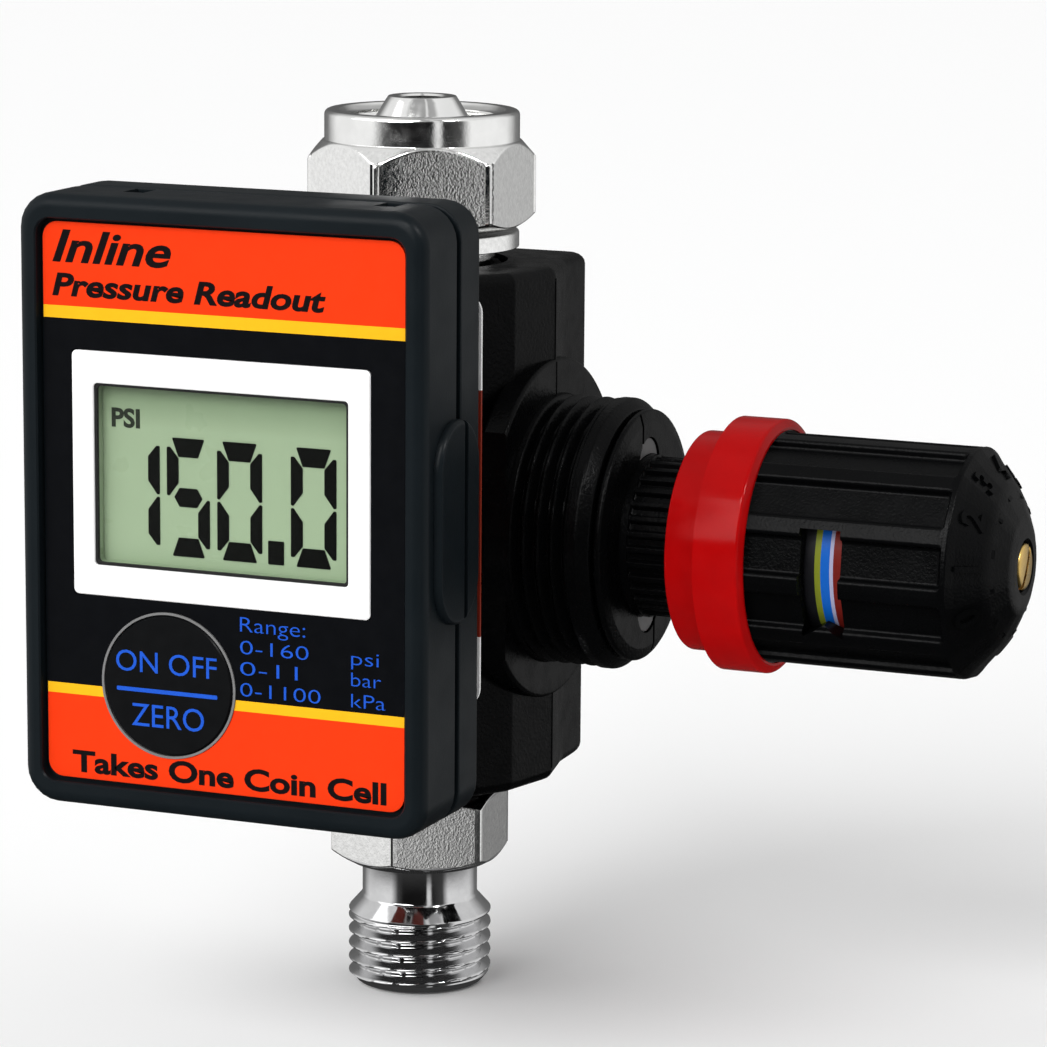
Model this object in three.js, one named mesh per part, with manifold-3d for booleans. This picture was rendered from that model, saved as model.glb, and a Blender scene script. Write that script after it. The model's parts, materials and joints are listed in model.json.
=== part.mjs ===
// An inline compressed-air regulator with a push-lock adjusting knob and a battery pressure gauge.
// Millimetres. +Z runs up the port line, +X along the adjusting knob, and the gauge faces -Y.
// The origin is the centre of the inlet's end face.
import * as THREE from "three";
import { mergeVertices } from "three/addons/utils/BufferGeometryUtils.js";
import Module from "manifold-3d";

const wasm = await Module();
wasm.setup();

// ---------------------------------------------------------------- driving dimensions

const KNOB_Z = 43.5; // height of the knob axis above the inlet's end face
const PITCH = 1.337; // 19 threads per inch, on the inlet and on the panel boss

const INLET = { bore: 3.5, face: 5.6, major: 6.58, root: 5.85, crests: 5, firstCrest: 1.25, neck: 5.3 };
const INLET_HEX = { acrossFlats: 14.5, from: 11.5, to: 18.4, turn: -84.4 };

const BODY = { bottom: 20, top: 67.2, halfX: 11.7, ridgeX: 13.15, halfY: 11.5, edge: 1.1 };
const PORT = { hole: 6, depth: 11, sealHole: 7.8, sealDepth: 1.6 };
const DISC = { radius: 15.4, from: 11, to: 13.3, clipY: 11.45 };
const BOSS = { collar: 12.2, collarEnd: 13.6, major: 12.1, root: 11.25, crests: 4, firstCrest: 14.45 };
const BOSS_LAND = { from: 19.5, to: 20.2, end: 21.1, endRadius: 11.4 };
const GAUGE_BOSS = { radius: 7, end: -17.3, hole: 4.6, holeDepth: 5, sealHole: 5.6, sealDepth: 1.2 };

const VALVE_HOLE = { radius: 5.6, end: -1 };
const SEAT_HOLE = 3.6;
const CHAMBER = { radius: 8, from: 1, to: 8.6 };
const BONNET_HOLE = 10;

const BONNET = { skirt: 9.7, from: 10, ring: 11.3, ringFrom: 21.4, face: 22.3 };
const STEM = { end: 35.2, bore: 5.6, wall: 32.6 };
const NOTCH = { radius: 2.4, offset: 6.4, depth: 0.6 };
const SPLINE = { teeth: 32, outer: 7.13, root: 6.6, end: 27.2 };
const KEYWAY = { halfWidth: 1.1, radius: 6.2 };

const SPINDLE = { radius: 2.6, thread: 2.3, from: 14.5, collarFrom: 31, end: 45, hex: 2.55 };
const SEAT_NUT = { from: 23.2, to: 26.4, radius: 5.3 };

const LOCK_RING = { from: 27.5, step: 30.7, to: 34.5, small: 9.8, large: 11.3 };
const RING_RECESS = { radius: 10.5, from: 31.2 };
const KNOB = { from: 31.6, shoulder: 53, tip: 57.3, radius: 10.25 };
const RIBS = { count: 12, turn: -8, width: 1.8, from: 34.6, to: 52.6, floor: 9.35 };
const WINDOW = { from: 39.6, to: 43.8, middle: -7.5, halfWidth: 4.9 };
const KNOB_CAVITY = { radius: 8.3, end: 51.4 };
const SLEEVE = { from: 31.6, to: 44.4, inner: 7.5, outer: 7.95, guide: 6.9, guideTo: 33.2 };

const NUT = { acrossFlats: 18, from: 70.3, hexTo: 78, top: 80.7, round: 8.75 };
const NUT_BORE = { thread: 6.6, neck: 4.7 };
const NIPPLE = { tail: 3.6, neck: 4.25, flange: 5.9, flangeZ: 73.8, bore: 2 };
const CONE = { from: 79.8, top: 81.9, tip: 3.15 };
const COLLAR = { radius: 8.8, from: 68.4, to: 69.9, bore: 3.9 };

const CASE = { halfX: 18.7, from: 24.3, to: 76.5, corner: 4.2, wall: 1.6, edge: 1.4 };
const FRONT_Y = { face: -41.3, panel: -40.1, panelBack: -38.8, seam: -34.7 };
const BACK_Y = { seam: -34, face: -29.4 };
const LABEL = { halfX: 16.6, from: 26.6, to: 74.1, front: -40.5, thick: 0.3, corner: 1.7 };
const BEZEL = { left: -14, right: 13.5, from: 42.6, to: 63.4 };
const SCREEN = { left: -12, right: 11.5, from: 45.2, to: 60.7 };
const BUTTON = { x: -5.1, z: 35.4, radius: 6 };
const GRIP_PAD = { middleZ: 50.4, halfHeight: 8.6, front: -39.4, back: -31.4, proud: 0.7 };
const BATTERY = { z: 62, radius: 10, front: -35.9, back: -32.8 };

const ROUND = 28; // sides of a turned piece, and fewer on a small one
const SMALL = 16;

// ---------------------------------------------------------------- materials

const FINISHES = {
  black: { color: 0x0c0d0e, roughness: 0.55, metalness: 0 },
  slate: { color: 0x1c2226, roughness: 0.5, metalness: 0 },
  red: { color: 0xb80a0c, roughness: 0.28, metalness: 0 },
  nickel: { color: 0xd2d2d0, roughness: 0.25, metalness: 1 },
  brass: { color: 0xc9a552, roughness: 0.3, metalness: 1 },
  steel: { color: 0xa8aaac, roughness: 0.35, metalness: 1 },
  rubber: { color: 0x141414, roughness: 0.85, metalness: 0 },
  orange: { color: 0xf23c0e, roughness: 0.45, metalness: 0 },
  white: { color: 0xf2f2f0, roughness: 0.5, metalness: 0 },
  lens: { color: 0xdfe8e0, roughness: 0.05, metalness: 0, transparent: true, opacity: 0.35 },
  lcd: { color: 0x98a98a, roughness: 0.35, metalness: 0 },
  board: { color: 0x1f6b3a, roughness: 0.5, metalness: 0 },
  stripes: { color: 0x2a6fe0, roughness: 0.4, metalness: 0 },
};

// ---------------------------------------------------------------- shape helpers

// A closed three.js geometry as a solid whose faces point outwards.
function solidFrom(geometry) {
  geometry.deleteAttribute("normal");
  geometry.deleteAttribute("uv");
  const merged = mergeVertices(geometry, 1e-4);
  const vertProperties = merged.getAttribute("position").array;
  const triVerts = new Uint32Array(merged.index.array);
  const build = () => new wasm.Manifold(new wasm.Mesh({ numProp: 3, vertProperties, triVerts }));
  const made = build();
  if (made.volume() > 0) return made;
  for (let i = 0; i < triVerts.length; i += 3) {
    [triVerts[i + 1], triVerts[i + 2]] = [triVerts[i + 2], triVerts[i + 1]];
  }
  return build();
}

// The frames that turn a shape made along three.js's own axis to lie along x, y or z.
const ALONG = {
  x: new THREE.Matrix4().set(0, 0, 1, 0, 1, 0, 0, 0, 0, 1, 0, 0, 0, 0, 0, 1),
  y: new THREE.Matrix4().set(1, 0, 0, 0, 0, 0, 1, 0, 0, 1, 0, 0, 0, 0, 0, 1),
  z: new THREE.Matrix4(),
};
const CENTRE = { x: [0, 0, KNOB_Z], y: [0, 0, KNOB_Z], z: [0, 0, 0] };

// A turned piece: profile holds [radius, position along the axis] pairs.
function turned(axis, profile, sides = ROUND, centre = CENTRE[axis]) {
  const points = profile.map(([radius, along]) => new THREE.Vector2(radius, along));
  const geometry = new THREE.LatheGeometry(points, sides);
  geometry.rotateX(Math.PI / 2);
  geometry.applyMatrix4(ALONG[axis]);
  geometry.translate(...centre);
  return solidFrom(geometry);
}

const rodProfile = (radius, from, to) => [[0, from], [radius, from], [radius, to], [0, to]];
const rod = (axis, radius, from, to, ...rest) => turned(axis, rodProfile(radius, from, to), ...rest);

function tube(axis, inner, outer, from, to, sides, centre) {
  const profile = [[inner, from], [outer, from], [outer, to], [inner, to], [inner, from]];
  return turned(axis, profile, sides, centre);
}

// A straight prism: the outline's two coordinates are (y, z), (x, z) or (x, y) across the axis.
function prism(axis, outline, from, to, centre = CENTRE[axis]) {
  const isShape = outline instanceof THREE.Shape;
  const shape = isShape ? outline : new THREE.Shape(outline.map(([u, v]) => new THREE.Vector2(u, v)));
  const options = { depth: to - from, bevelEnabled: false, curveSegments: 3 };
  const geometry = new THREE.ExtrudeGeometry(shape, options);
  geometry.translate(0, 0, from);
  geometry.applyMatrix4(ALONG[axis]);
  geometry.translate(...centre);
  return solidFrom(geometry);
}

function block([x0, x1], [y0, y1], [z0, z1]) {
  const geometry = new THREE.BoxGeometry(x1 - x0, y1 - y0, z1 - z0);
  geometry.translate((x0 + x1) / 2, (y0 + y1) / 2, (z0 + z1) / 2);
  return solidFrom(geometry);
}

// A regular outline, by the radius of its corners and the angle of the first one.
function regular(count, radius, turn = 0) {
  return Array.from({ length: count }, (_, i) => {
    const angle = THREE.MathUtils.degToRad(turn + (360 * i) / count);
    return [radius * Math.cos(angle), radius * Math.sin(angle)];
  });
}

// A hexagon whose corners are rounded off at both ends, as a spanner hex is.
function spannerHex(axis, acrossFlats, from, to, turn) {
  const flat = acrossFlats / 2;
  const corner = flat / Math.cos(Math.PI / 6) + 0.02;
  const chamfer = (corner - flat) * 0.6 + 0.06;
  const crown = [
    [0, from],
    [flat - 0.1, from],
    [corner, from + chamfer],
    [corner, to - chamfer],
    [flat - 0.1, to],
    [0, to],
  ];
  return prism(axis, regular(6, corner, turn), from, to).intersect(turned(axis, crown, 24));
}

// Ring-shaped thread crests, for a profile that runs along the axis.
function threadProfile(root, major, first, count) {
  const rings = Array.from({ length: count }, (_, i) => first + i * PITCH).flatMap((crest) => [
    [root, crest - PITCH / 2],
    [major, crest],
  ]);
  return [...rings, [root, first + (count - 0.5) * PITCH]];
}

// A splined outline whose tips and roots alternate.
function splineOutline(teeth, tip, root) {
  return Array.from({ length: 2 * teeth }, (_, i) => {
    const radius = i % 2 ? root : tip;
    const angle = (Math.PI * i) / teeth;
    return [radius * Math.cos(angle), radius * Math.sin(angle)];
  });
}

// A rounded rectangle in (x, z), as a THREE.Shape.
function roundedRectangle(left, right, bottom, top, corner) {
  const shape = new THREE.Shape();
  shape.moveTo(left + corner, bottom);
  shape.lineTo(right - corner, bottom);
  shape.absarc(right - corner, bottom + corner, corner, -Math.PI / 2, 0, false);
  shape.absarc(right - corner, top - corner, corner, 0, Math.PI / 2, false);
  shape.absarc(left + corner, top - corner, corner, Math.PI / 2, Math.PI, false);
  shape.absarc(left + corner, bottom + corner, corner, Math.PI, Math.PI * 1.5, false);
  return shape;
}

const plate = (shape, front, back) => prism("y", shape, front, back, [0, 0, 0]);

function ringSeal(axis, middle, thickness, along, centre = CENTRE[axis]) {
  const geometry = new THREE.TorusGeometry(middle, thickness, 6, 18);
  geometry.translate(0, 0, along);
  geometry.applyMatrix4(ALONG[axis]);
  geometry.translate(...centre);
  return solidFrom(geometry);
}

// A coil spring along the knob axis.
class Coil extends THREE.Curve {
  constructor(radius, from, to, turns) {
    super();
    Object.assign(this, { radius, from, to, turns });
  }
  getPoint(t, target = new THREE.Vector3()) {
    const angle = 2 * Math.PI * this.turns * t;
    const along = THREE.MathUtils.lerp(this.from, this.to, t);
    return target.set(along, this.radius * Math.cos(angle), KNOB_Z + this.radius * Math.sin(angle));
  }
}

function coilSpring(radius, wire, from, to, turns) {
  const section = new THREE.Shape(regular(5, wire).map(([u, v]) => new THREE.Vector2(u, v)));
  const extrudePath = new Coil(radius, from, to, turns);
  const options = { steps: turns * 10, extrudePath, bevelEnabled: false };
  return solidFrom(new THREE.ExtrudeGeometry(section, options));
}

// ---------------------------------------------------------------- assembly

const group = new THREE.Group();

function place(name, solid, finish) {
  const { vertProperties, triVerts } = solid.getMesh();
  const geometry = new THREE.BufferGeometry();
  geometry.setAttribute("position", new THREE.BufferAttribute(vertProperties, 3));
  geometry.setIndex(new THREE.BufferAttribute(triVerts, 1));
  geometry.computeVertexNormals();
  const mesh = new THREE.Mesh(geometry, new THREE.MeshStandardMaterial(FINISHES[finish]));
  mesh.name = name;
  group.add(mesh);
}

// ---------------------------------------------------------------- inlet: male thread, hex and filter

function inletFitting() {
  const outside = [
    [INLET.bore, 0],
    [INLET.face, 0],
    ...threadProfile(INLET.root, INLET.major, INLET.firstCrest, INLET.crests),
    [INLET.neck, INLET.firstCrest + INLET.crests * PITCH],
    [INLET.neck, INLET_HEX.from + 0.5],
    [6.8, INLET_HEX.from + 0.5],
    [6.8, BODY.bottom - 0.2],
    [PORT.hole - 0.3, BODY.bottom - 0.2],
    [PORT.hole - 0.3, BODY.bottom + PORT.depth - 0.3],
    [INLET.bore, BODY.bottom + PORT.depth - 0.3],
    [INLET.bore, 0],
  ];
  const hex = spannerHex("z", INLET_HEX.acrossFlats, INLET_HEX.from, INLET_HEX.to, INLET_HEX.turn);
  const hexRing = hex.subtract(rod("z", INLET.bore, INLET_HEX.from - 1, INLET_HEX.to + 1));
  return turned("z", outside).add(hexRing);
}

place("inlet_fitting", inletFitting(), "nickel");
place("inlet_oring", ringSeal("z", 6.9, 0.6, BODY.bottom + 0.8), "rubber");

const filterCup = [[0, 29.6], [3.2, 29.6], [3.2, 22], [2.6, 22], [2.6, 29], [0, 29]];
place("filter_screen", turned("z", filterCup, SMALL), "steel");

// ---------------------------------------------------------------- regulator body

function regulatorBody() {
  const { halfX, ridgeX, halfY, edge } = BODY;
  const quarter = [[8, -halfY], [halfX, -6], [ridgeX, 0], [halfX + 0.1, 6], [halfX - 0.2, halfY]];
  const outline = [...quarter, ...quarter.map(([x, y]) => [-x, y]).reverse()].map(([x, y]) => [
    x - Math.sign(x) * edge,
    y - (Math.abs(y) === halfY ? Math.sign(y) * edge : 0),
  ]);
  const shape = new THREE.Shape(outline.map(([x, y]) => new THREE.Vector2(x, y)));
  const bevel = { bevelEnabled: true, bevelThickness: edge, bevelSize: edge, bevelSegments: 2 };
  const depth = BODY.top - BODY.bottom - 2 * edge;
  const casting = new THREE.ExtrudeGeometry(shape, { depth, ...bevel });
  casting.translate(0, 0, BODY.bottom + edge);

  const disc = rod("x", DISC.radius, 0, DISC.to, 36).intersect(
    block([DISC.from, DISC.to], [-DISC.clipY, DISC.clipY], [KNOB_Z - 20, KNOB_Z + 20]),
  );
  const boss = turned("x", [
    [0, DISC.from],
    [BOSS.collar, DISC.from],
    [BOSS.collar, BOSS.collarEnd],
    ...threadProfile(BOSS.root, BOSS.major, BOSS.firstCrest, BOSS.crests),
    [BOSS.major, BOSS_LAND.from],
    [BOSS.major, BOSS_LAND.to],
    [BOSS_LAND.endRadius, BOSS_LAND.end],
    [0, BOSS_LAND.end],
  ]);
  const gaugeBoss = rod("y", GAUGE_BOSS.radius, GAUGE_BOSS.end, -9, 24);

  const bore = (axis, radius, from, to, sides = 24) => rod(axis, radius, from, to, sides);
  const drilling = (axis, radius, from, to, centre) => rod(axis, radius, from, to, 8, centre);
  const hollows = [
    bore("z", PORT.hole, BODY.bottom - 1, BODY.bottom + PORT.depth),
    bore("z", PORT.sealHole, BODY.bottom - 1, BODY.bottom + PORT.sealDepth),
    bore("z", PORT.hole, BODY.top - PORT.depth, BODY.top + 1),
    bore("z", PORT.sealHole, BODY.top - PORT.sealDepth, BODY.top + 1),
    bore("x", VALVE_HOLE.radius, -15, VALVE_HOLE.end, 20),
    bore("x", 7, -15, -12, 20),
    bore("x", SEAT_HOLE, VALVE_HOLE.end - 1, CHAMBER.from + 1, SMALL),
    bore("x", CHAMBER.radius, CHAMBER.from, CHAMBER.to),
    bore("x", BONNET_HOLE, CHAMBER.to, BOSS_LAND.end + 1),
    bore("y", GAUGE_BOSS.hole, GAUGE_BOSS.end - 1, GAUGE_BOSS.end + GAUGE_BOSS.holeDepth, SMALL),
    bore("y", GAUGE_BOSS.sealHole, GAUGE_BOSS.end - 1, GAUGE_BOSS.end + GAUGE_BOSS.sealDepth, SMALL),
    drilling("z", 1.8, 30, 39.5, [-3.6, 0, 0]),
    drilling("z", 1.4, 49, 58, [2.7, 0, 0]),
    drilling("y", 1.1, -13, -6, [2.4, 0, KNOB_Z]),
  ];
  const solid = solidFrom(casting).add(disc).add(boss).add(gaugeBoss);
  return hollows.reduce((left, hollow) => left.subtract(hollow), solid);
}

place("regulator_body", regulatorBody(), "black");

// ---------------------------------------------------------------- inlet valve, behind the -X plug

const seat = tube("x", 1.9, 4.8, -2.1, -1.3, SMALL).add(tube("x", 1.9, 3.3, -1.4, 0.8, SMALL));
place("valve_seat", seat, "brass");

const poppetProfile = [
  [0, -10.2],
  [1.2, -10.2],
  [1.2, -4.4],
  [3.9, -4.4],
  [3.9, -3.1],
  [1, -3.1],
  [1, 3.2],
  [0, 3.2],
];
place("valve_poppet", turned("x", poppetProfile, SMALL), "brass");
place("poppet_seal", tube("x", 1.25, 3.7, -2.95, -2.35, SMALL), "rubber");
place("valve_spring", coilSpring(2.25, 0.35, -8.5, -4.95, 4), "steel");

function valvePlug() {
  const profile = [
    [0, -15.4],
    [6, -15.4],
    [6.6, -14.8],
    [6.6, -13.4],
    [5.3, -13.4],
    [5.3, -9],
    [1.6, -9],
    [1.6, -12],
    [0, -12],
  ];
  const slot = block([-16, -14.6], [-5, 5], [KNOB_Z - 0.6, KNOB_Z + 0.6]);
  return turned("x", profile, 20).subtract(slot);
}

place("valve_plug", valvePlug(), "nickel");
place("plug_oring", ringSeal("x", 6.05, 0.55, -12.65), "rubber");

// ---------------------------------------------------------------- piston and regulating spring

const pistonProfile = [
  [0, 3.5],
  [1.8, 3.5],
  [1.8, 4.4],
  [7.7, 4.4],
  [7.7, 5.4],
  [6.3, 5.4],
  [6.3, 7.2],
  [7.7, 7.2],
  [7.7, 8.2],
  [3.1, 8.2],
  [3.1, 10.2],
  [0, 10.2],
];
place("piston", turned("x", pistonProfile, 24), "brass");
place("piston_oring", ringSeal("x", 7.12, 0.68, 6.3), "rubber");
place("regulating_spring", coilSpring(4.5, 0.62, 9.1, 21.9, 6), "steel");

function springSeatNut() {
  const { from, to, radius } = SEAT_NUT;
  const hole = SPINDLE.thread + 0.3;
  const profile = [
    [hole, from - 1.4],
    [3.4, from - 1.4],
    [3.4, from],
    [radius, from],
    [radius, to],
    [hole, to],
    [hole, from - 1.4],
  ];
  const key = block([from, to], [-0.8, 0.8], [KNOB_Z + radius - 1, KNOB_Z + KEYWAY.radius - 0.25]);
  return turned("x", profile, 24).add(key);
}

place("spring_seat_nut", springSeatNut(), "brass");

// ---------------------------------------------------------------- bonnet: skirt, ring and splined stem

function bonnet() {
  const { skirt, from, ring, ringFrom, face } = BONNET;
  const { end, bore, wall } = STEM;
  const outside = [
    [0, from],
    [skirt, from],
    [skirt, ringFrom],
    [ring, ringFrom],
    [ring, face - 0.5],
    [ring - 0.6, face],
    [SPLINE.root, face],
    [SPLINE.root, end],
    [0, end],
  ];
  const teeth = splineOutline(SPLINE.teeth, SPLINE.outer, SPLINE.root - 0.05);
  const spline = prism("x", teeth, face - 0.5, SPLINE.end);
  const floor = face - NOTCH.depth;
  const notch = (offset) => rod("x", NOTCH.radius, floor, face + 1, SMALL, [0, 0, KNOB_Z + offset]);
  const stemCore = rod("x", SPLINE.root, floor - 0.1, face + 1);
  const { halfWidth, radius } = KEYWAY;
  const hollows = [
    rod("x", bore, from - 1, wall),
    rod("x", SPINDLE.radius + 0.3, wall - 1, end + 1, SMALL),
    block([from - 1, wall - 0.5], [-halfWidth, halfWidth], [KNOB_Z, KNOB_Z + radius]),
  ];
  const notched = turned("x", outside, 32).subtract(notch(NOTCH.offset)).subtract(notch(-NOTCH.offset));
  const plain = notched.add(stemCore).add(spline);
  return hollows.reduce((left, hollow) => left.subtract(hollow), plain);
}

place("bonnet", bonnet(), "black");

// ---------------------------------------------------------------- adjusting spindle

function spindle() {
  const { radius, thread, from, collarFrom, end, hex } = SPINDLE;
  const profile = [
    [0, from],
    [thread, from],
    [thread, collarFrom],
    [4.2, collarFrom],
    [4.2, STEM.wall - 0.3],
    [radius, STEM.wall - 0.3],
    [radius, 35.5],
    [2, 35.5],
    [2, 36.3],
    [radius, 36.3],
    [radius, 36.7],
    [0, 36.7],
  ];
  return turned("x", profile, SMALL).add(prism("x", regular(6, hex, 30), 36.6, end));
}

place("adjusting_spindle", spindle(), "brass");
place("spindle_clip", tube("x", 2.2, 3.9, 35.6, 36.2, SMALL), "steel");

// ---------------------------------------------------------------- knob, lock ring and pressure scale

function lockRing() {
  const { from, step, to, small, large } = LOCK_RING;
  const outside = [
    [0, from],
    [small - 0.3, from],
    [small, from + 0.3],
    [small, step],
    [large - 0.3, step],
    [large, step + 0.3],
    [large, to - 0.5],
    [large - 0.5, to],
    [0, to],
  ];
  const toothed = splineOutline(SPLINE.teeth, SPLINE.outer + 0.3, SPLINE.root + 0.3);
  return turned("x", outside, 36)
    .subtract(prism("x", toothed, from - 1, RING_RECESS.from + 0.1))
    .subtract(rod("x", RING_RECESS.radius, RING_RECESS.from, to + 1, 36));
}

place("red_lock_ring", lockRing(), "red");

function knob() {
  const { from, shoulder, tip, radius } = KNOB;
  const outside = [
    [0, from],
    [radius - 0.05, from],
    [radius, RIBS.from],
    [radius - 0.15, shoulder],
    [4.6, tip - 0.6],
    [3.6, tip],
    [0, tip],
  ];
  const pitch = 360 / RIBS.count;
  const panelHalf = radius * Math.sin(THREE.MathUtils.degToRad(pitch / 2)) - RIBS.width / 2;
  const solid = turned("x", outside, 48);
  const panels = Array.from({ length: RIBS.count }, (_, i) => {
    const geometry = new THREE.BoxGeometry(RIBS.to - RIBS.from, 3, 2 * panelHalf);
    geometry.translate((RIBS.from + RIBS.to) / 2, -(RIBS.floor + 1.5), 0);
    geometry.rotateX(-THREE.MathUtils.degToRad(RIBS.turn + pitch * (i + 0.5)));
    geometry.translate(0, 0, KNOB_Z);
    return solidFrom(geometry);
  });
  const windowCut = new THREE.BoxGeometry(WINDOW.to - WINDOW.from, 6, 2 * WINDOW.halfWidth);
  windowCut.translate((WINDOW.from + WINDOW.to) / 2, -9.5, 0);
  windowCut.rotateX(-THREE.MathUtils.degToRad(WINDOW.middle));
  windowCut.translate(0, 0, KNOB_Z);
  const hollows = [
    ...panels,
    solidFrom(windowCut),
    rod("x", KNOB_CAVITY.radius, from - 1, KNOB_CAVITY.end),
    rod("x", 4.9, KNOB_CAVITY.end - 1, 53.4, SMALL),
    rod("x", 1.6, 53, 56, 12),
    rod("x", 2.2, 55.3, tip + 1, SMALL),
  ];
  return hollows.reduce((left, hollow) => left.subtract(hollow), solid);
}

place("knob", knob(), "black");

const coreSocket = prism("x", regular(6, SPINDLE.hex + 0.3, 30), 39, 49);
const coreBlank = rod("x", 4.6, 39.8, 53.2, 24);
const core = coreBlank.subtract(coreSocket).subtract(rod("x", 1.6, 50.3, 54, 12));
place("knob_core", core, "brass");

function knobScrew() {
  const profile = [
    [0, 50.6],
    [1.3, 50.6],
    [1.3, 55.5],
    [1.95, 55.5],
    [1.95, 57.1],
    [1.7, 57.35],
    [0, 57.35],
  ];
  const slot = block([56.7, 58], [-3, 3], [KNOB_Z - 0.25, KNOB_Z + 0.25]);
  return turned("x", profile, SMALL).subtract(slot);
}

place("knob_screw", knobScrew(), "brass");

const sleeveProfile = [
  [SLEEVE.guide, SLEEVE.from],
  [SLEEVE.outer, SLEEVE.from],
  [SLEEVE.outer, SLEEVE.to],
  [SLEEVE.inner, SLEEVE.to],
  [SLEEVE.inner, SLEEVE.guideTo],
  [SLEEVE.guide, SLEEVE.guideTo],
  [SLEEVE.guide, SLEEVE.from],
];
place("pressure_scale_sleeve", turned("x", sleeveProfile, ROUND), "stripes");

// ---------------------------------------------------------------- outlet: fitting, nipple and swivel nut

const outletProfile = [
  [COLLAR.bore, BODY.top - PORT.depth + 0.4],
  [PORT.hole - 0.3, BODY.top - PORT.depth + 0.4],
  [PORT.hole - 0.3, BODY.top + 0.2],
  [7.4, BODY.top + 0.2],
  [7.4, COLLAR.from],
  [COLLAR.radius - 0.3, COLLAR.from],
  [COLLAR.radius, COLLAR.from + 0.3],
  [COLLAR.radius, COLLAR.to - 0.3],
  [COLLAR.radius - 0.3, COLLAR.to],
  [COLLAR.bore, COLLAR.to],
  [COLLAR.bore, BODY.top - PORT.depth + 0.4],
];
place("outlet_fitting", turned("z", outletProfile), "nickel");
place("outlet_oring", ringSeal("z", 6.9, 0.6, BODY.top - 0.8), "rubber");

const nippleProfile = [
  [NIPPLE.bore, 60],
  [NIPPLE.tail, 60],
  [NIPPLE.tail, COLLAR.to + 0.3],
  [NIPPLE.neck, COLLAR.to + 0.3],
  [NIPPLE.neck, NIPPLE.flangeZ],
  [NIPPLE.flange, NIPPLE.flangeZ],
  [NIPPLE.flange, NIPPLE.flangeZ + 1.4],
  [NIPPLE.neck, NIPPLE.flangeZ + 1.4],
  [NIPPLE.neck, CONE.from],
  [CONE.tip, CONE.top - 0.2],
  [CONE.tip - 0.2, CONE.top],
  [NIPPLE.bore, CONE.top],
  [NIPPLE.bore, 60],
];
place("outlet_nipple", turned("z", nippleProfile, 20), "nickel");

function swivelNut() {
  const { acrossFlats, from, hexTo, top, round } = NUT;
  const bore = NUT_BORE.thread;
  const crown = [
    [0, hexTo - 0.5],
    [round, hexTo - 0.5],
    [round, top - 0.3],
    [round - 0.3, top],
    [0, top],
  ];
  const cavity = [
    [0, NIPPLE.flangeZ - 0.3],
    [bore, NIPPLE.flangeZ - 0.3],
    [bore, top - 0.8],
    [bore + 0.8, top],
    [bore + 0.8, top + 1],
    [0, top + 1],
  ];
  return spannerHex("z", acrossFlats, from, hexTo, 90)
    .add(turned("z", crown))
    .subtract(rod("z", NUT_BORE.neck, from - 1, top))
    .subtract(turned("z", cavity));
}

place("swivel_nut", swivelNut(), "nickel");

// ---------------------------------------------------------------- gauge stem and sensor

function gaugeStem() {
  const threadEnd = GAUGE_BOSS.end + GAUGE_BOSS.holeDepth - 0.3;
  const profile = [
    [1.2, -33],
    [4.2, -33],
    [4.2, -28.5],
    [5, -28.5],
    [5, -19],
    [GAUGE_BOSS.hole - 0.3, -19],
    [GAUGE_BOSS.hole - 0.3, threadEnd],
    [1.2, threadEnd],
    [1.2, -33],
  ];
  const hex = spannerHex("y", 14, -22.5, GAUGE_BOSS.end - 0.3, 0).subtract(rod("y", 3, -24, -16, SMALL));
  return turned("y", profile, 24).add(hex);
}

place("gauge_stem", gaugeStem(), "nickel");
place("gauge_oring", ringSeal("y", 5, 0.45, GAUGE_BOSS.end + 0.6), "rubber");
place("pressure_sensor", rod("y", 6, -36, -33.2, 24), "steel");

// ---------------------------------------------------------------- gauge case

function inset(gap) {
  const halfX = CASE.halfX - gap;
  return roundedRectangle(-halfX, halfX, CASE.from + gap, CASE.to - gap, CASE.corner - gap);
}

// One half of the case's outside, from its seam to an outer face with a rounded edge.
function caseOutside(seam, face) {
  const out = Math.sign(face - seam);
  const layers = [0, 30, 60, 90].map((degrees) => {
    const angle = THREE.MathUtils.degToRad(degrees);
    const end = face - out * CASE.edge * (1 - Math.sin(angle));
    return plate(inset(CASE.edge * (1 - Math.cos(angle))), Math.min(seam, end), Math.max(seam, end));
  });
  return layers.reduce((sum, layer) => sum.add(layer));
}

// The thumb pads on both side walls, between two Y positions.
function gripPads(from, to) {
  const { middleZ, halfHeight, front, back, proud } = GRIP_PAD;
  const radius = (back - front) / 2;
  const middleY = (back + front) / 2;
  const shape = new THREE.Shape();
  shape.absarc(middleY, middleZ + halfHeight - radius, radius, 0, Math.PI, false);
  shape.absarc(middleY, middleZ - halfHeight + radius, radius, Math.PI, 2 * Math.PI, false);
  const reach = CASE.halfX + proud;
  const band = block([-30, 30], [from, to], [CASE.from, CASE.to]);
  const middle = block([-CASE.halfX + 1, CASE.halfX - 1], [-50, 0], [0, 100]);
  return prism("x", shape, -reach, reach, [0, 0, 0]).subtract(middle).intersect(band);
}

// The openings for the screen's frame and the button, through the front shell's panel or the label.
function screenHole(gap) {
  return block([BEZEL.left - gap, BEZEL.right + gap], [-45, -35], [BEZEL.from - gap, BEZEL.to + gap]);
}

function buttonHole() {
  return rod("y", BUTTON.radius + 0.3, -45, -35, ROUND, [BUTTON.x, 0, BUTTON.z]);
}

function frontShell() {
  const { face, panel, panelBack, seam } = FRONT_Y;
  const gap = 0.15;
  const halfX = LABEL.halfX + gap;
  const recess = roundedRectangle(-halfX, halfX, LABEL.from - gap, LABEL.to + gap, LABEL.corner);
  return caseOutside(seam, face)
    .add(gripPads(GRIP_PAD.front - 1, seam))
    .subtract(plate(recess, face - 1, panel))
    .subtract(plate(inset(CASE.wall), panelBack, seam + 1))
    .subtract(screenHole(0.2))
    .subtract(buttonHole());
}

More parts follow.
